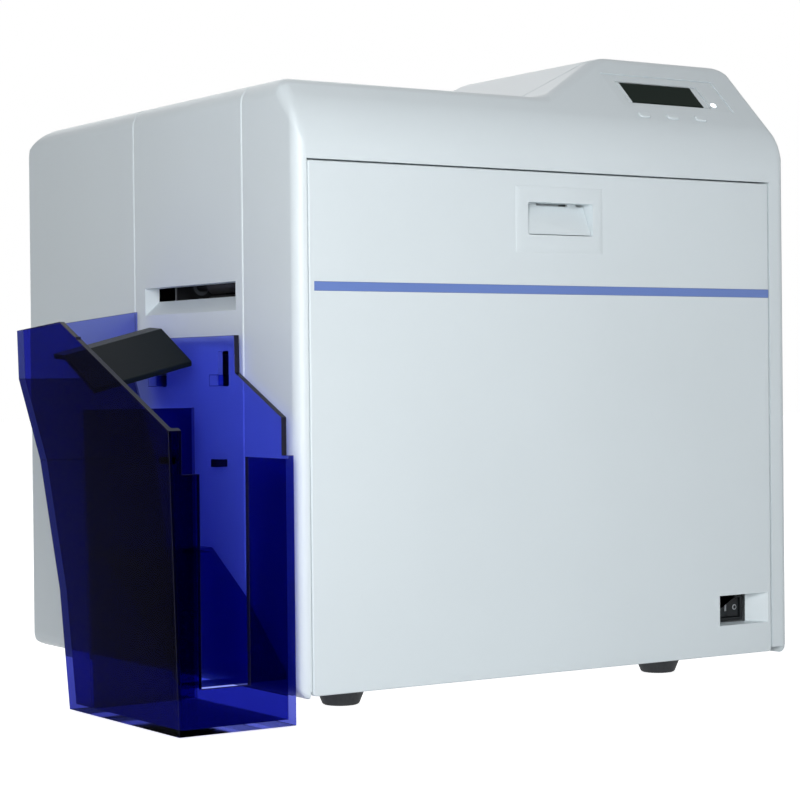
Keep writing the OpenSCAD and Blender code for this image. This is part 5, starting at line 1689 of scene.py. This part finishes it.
class PRINTER_OT_boards(bpy.types.Operator):
    """Model the main board, the control board and the power supply"""

    bl_idname = "printer.boards"
    bl_label = "Boards and power supply"

    def execute(self, context):
        z = BOARD_TOP
        board = block("board", (20, 182, 22), (150, 304, z))
        for x, y in BOARD_SCREWS:
            combine(board, drum("board_hole", (x, y, 23), 1.6, 4, "z", 24))
        parts = [coloured(edge_round(board, 0.2, 2), "board")]
        for x, y in BOARD_SCREWS:
            post = drum("stand_off", (x, y, 18), 3, 7.9, "z", 6)
            screw = cross_screw("board_screw", x, y, z + 1.1, 2.6, 1.1, "z")
            parts += [coloured(post, "pin"), coloured(screw, "pin")]
        for x, y, wide in ((40, 210, 24), (84, 216, 30)):
            chip = block(
                "chip", (x + 1.5, y + 1.5, z + 0.3), (x + wide - 1.5, y + wide * 0.7 - 1.5, z + 2.9)
            )
            parts.append(coloured(edge_round(chip, 0.4, 2), "black"))
            count = int((wide - 6) / 1.6)
            for side in (y + 0.2, y + wide * 0.7 - 1.7):
                leg = in_rows(
                    block("leg", (x + 3, side, z), (x + 3.6, side + 1.5, z + 0.8)), (1.6, 0, 0),
                    count
                )
                parts.append(coloured(leg, "pin"))
        header = block("header", (50, 262, z), (66, 273.2, z + 8))
        cut(header, "header_mouth", (51.2, 263.2, z + 1.5), (64.8, 272, z + 9))
        parts.append(coloured(edge_round(header, 0.25, 2), "gear"))
        needle = in_rows(block("needle", (52.6, 267, z + 1), (53.2, 267.6, z + 7)), (2, 0, 0), 6)
        parts.append(coloured(needle, "gold"))
        for x, y, radius, tall in (
            (101.5, 271.5, 5, 10), (113, 271.5, 5, 10), (101.5, 284, 5, 10), (125, 273, 4, 8)
        ):
            can = drum("capacitor", (x, y, z + tall / 2), radius, tall, "z", 32)
            round_edges(can, lambda e: mids(e)[2] > z + tall - 0.05, 0.7, 3)
            combine(can, ring("crimp", (x, y, z + 1.2), radius, 0.35, "z", 32))
            coloured(can, "cassette")
            paint(can, "alloy", lambda a, b, c, n: n.z > ACROSS)
            parts.append(can)
        coil = block("coil", (110, 279.5, z), (130, 290.5, z + 7))
        parts.append(coloured(edge_round(coil, 1.2, 3), "roller"))
        for x in range(6):
            small = block("part", (60 + 9 * x, 190, z), (63.2 + 9 * x, 191.6, z + 0.9))
            parts.append(coloured(small, "ceramic" if x % 2 else "black"))
        piece = join(*parts)
        piece.name = "populated_board"
        shade_only(piece)
        stand_for(piece, "main_board")

        stand_for(eased_copy("power_supply", "caged_supply", "steel", 0.5), "power_supply")
        stand_for(eased_copy("panel_board", "control_board", "board", 0.2), "panel_board")
        return {"FINISHED"}


# ---------------------------------------------------------------- stage


# name, place, target, size and share of the key light's power
LIGHTS = (
    ("key", (-0.78, -1.12, 0.36), (0.03, 0, 0.17), 0.45, 1),
    ("fill", (1.9, -1.2, 1.2), (0, 0, 0.2), 1.8, 0.3),
    ("overhead", (0.2, 0.3, 2.3), (0, 0, 0.1), 2.0, 0.2),
    ("back", (0.6, 2.0, 1.1), (0, 0, 0.2), 1.6, 0.9),
)
FLOOR_SIZE, FLOOR_Z = 14, -0.0002  # just under the feet, so that the two don't share a plane
FLOOR_LIFT = 0.87  # the floor's own light, which takes its shade of grey out


class PRINTER_OT_stage(bpy.types.Operator):
    """Set up the pale floor, the soft lights and the camera"""

    bl_idname = "printer.stage"
    bl_label = "Stage"

    def execute(self, context):
        s = context.scene.printer_stage
        bpy.ops.object.select_all(action="DESELECT")
        bpy.ops.mesh.primitive_plane_add(size=FLOOR_SIZE, location=(0, 2, FLOOR_Z))
        floor = context.object
        floor.name = "floor"
        settle(floor)
        floor.data.materials.append(floor_white())
        for name, place, target, size, share in LIGHTS:
            add_light(name, place, target, size, s.key_power * share)
        world = bpy.data.worlds.new("studio")
        context.scene.world = world
        world.use_nodes = True
        sky = world.node_tree
        sky.nodes.clear()
        seen = sky.nodes.new("ShaderNodeBackground")
        seen.inputs["Color"].default_value = (1, 1, 1, 1)
        seen.inputs["Strength"].default_value = 1.0
        cast = sky.nodes.new("ShaderNodeBackground")
        cast.inputs["Color"].default_value = (0.93, 0.96, 1.0, 1)
        cast.inputs["Strength"].default_value = s.sky
        mix = sky.nodes.new("ShaderNodeMixShader")
        out = sky.nodes.new("ShaderNodeOutputWorld")
        sky.links.new(seeing_rays(sky), mix.inputs["Fac"])
        sky.links.new(cast.outputs[0], mix.inputs[1])
        sky.links.new(seen.outputs[0], mix.inputs[2])
        sky.links.new(mix.outputs[0], out.inputs[0])
        eye = bpy.data.objects.new("camera", bpy.data.cameras.new("camera"))
        context.collection.objects.link(eye)
        eye.location = s.place
        aim = Euler((math.pi / 2 + s.pitch, 0, -s.heading)).to_matrix()
        eye.rotation_euler = (aim @ Matrix.Rotation(s.roll, 3, "Z")).to_euler()
        eye.data.lens = s.lens
        eye.data.sensor_width = 36
        eye.data.clip_start = 0.01
        eye.data.clip_end = 60
        context.scene.camera = eye
        context.scene.view_settings.view_transform = "Standard"
        return {"FINISHED"}


def floor_white():
    """Pale floor that is white to the eye and keeps the object's shadow."""
    material = bpy.data.materials.new("floor_white")
    material.use_nodes = True
    tree = material.node_tree
    tree.nodes.clear()
    matt = tree.nodes.new("ShaderNodeBsdfDiffuse")
    matt.inputs["Color"].default_value = (0.9, 0.9, 0.9, 1)
    lift = tree.nodes.new("ShaderNodeEmission")
    both = tree.nodes.new("ShaderNodeAddShader")
    mix = tree.nodes.new("ShaderNodeMixShader")
    out = tree.nodes.new("ShaderNodeOutputMaterial")
    lift.inputs["Strength"].default_value = FLOOR_LIFT
    tree.links.new(matt.outputs[0], both.inputs[0])
    tree.links.new(lift.outputs[0], both.inputs[1])
    tree.links.new(seeing_rays(tree), mix.inputs["Fac"])
    tree.links.new(matt.outputs[0], mix.inputs[1])
    tree.links.new(both.outputs[0], mix.inputs[2])
    tree.links.new(mix.outputs[0], out.inputs["Surface"])
    return material


def seeing_rays(tree):
    """One for the rays that look: from the camera, off a gloss and through clear plastic."""
    path = tree.nodes.new("ShaderNodeLightPath")
    total = path.outputs["Is Camera Ray"]
    for kind in ("Is Glossy Ray", "Is Transmission Ray"):
        m = tree.nodes.new("ShaderNodeMath")
        m.operation = "ADD"
        m.use_clamp = True
        tree.links.new(total, m.inputs[0])
        tree.links.new(path.outputs[kind], m.inputs[1])
        total = m.outputs[0]
    return total


def add_light(name, place, target, size, power):
    """A square area light that faces a point."""
    lamp = bpy.data.lights.new(name, "AREA")
    lamp.shape = "SQUARE"
    lamp.size = size
    lamp.energy = power
    lamp_object = bpy.data.objects.new(name, lamp)
    bpy.context.collection.objects.link(lamp_object)
    lamp_object.location = place
    beam = Vector(target) - Vector(place)
    lamp_object.rotation_euler = beam.to_track_quat("-Z", "Y").to_euler()


# ---------------------------------------------------------------- panel and registration

GROUPS = {
    "printer_enclosure": EnclosureSettings,
    "printer_finish": FinishSettings,
    "printer_stage": StageSettings,
}
OPERATORS = [
    PRINTER_OT_stage,
    PRINTER_OT_front_shell,
    PRINTER_OT_middle_shell,
    PRINTER_OT_rear_shell,
    PRINTER_OT_hopper_lid,
    PRINTER_OT_door,
    PRINTER_OT_latch,
    PRINTER_OT_controls,
    PRINTER_OT_power_switch,
    PRINTER_OT_stacker,
    PRINTER_OT_underside,
    PRINTER_OT_rear_sockets,
    PRINTER_OT_fan,
    PRINTER_OT_chassis,
    PRINTER_OT_rollers,
    PRINTER_OT_gears,
    PRINTER_OT_print_head,
    PRINTER_OT_cassettes,
    PRINTER_OT_motors,
    PRINTER_OT_boards,
]


class PRINTER_PT_panel(bpy.types.Panel):
    """Sidebar panel with the printer's settings and pieces."""

    bl_label = "Card printer"
    bl_idname = "PRINTER_PT_panel"
    bl_space_type = "VIEW_3D"
    bl_region_type = "UI"
    bl_category = "Card printer"

    def draw(self, context):
        for name, group in GROUPS.items():
            box = self.layout.box()
            for key in group.__annotations__:
                box.prop(getattr(context.scene, name), key)
        for operator in OPERATORS:
            self.layout.operator(operator.bl_idname)


def register():
    """Register the settings, the operators and the panel."""
    for group in GROUPS.values():
        bpy.utils.register_class(group)
    for name, group in GROUPS.items():
        setattr(bpy.types.Scene, name, bpy.props.PointerProperty(type=group))
    for cls in (*OPERATORS, PRINTER_PT_panel):
        bpy.utils.register_class(cls)


def unregister():
    """Take back what register did, in the opposite order."""
    for cls in (PRINTER_PT_panel, *reversed(OPERATORS)):
        bpy.utils.unregister_class(cls)
    for name, group in reversed(GROUPS.items()):
        delattr(bpy.types.Scene, name)
        bpy.utils.unregister_class(group)


def main():
    """Register the add-on and run its operators in order."""
    register()
    for operator in OPERATORS:
        group, name = operator.bl_idname.split(".")
        getattr(getattr(bpy.ops, group), name)()


if __name__ == "__main__":
    main()
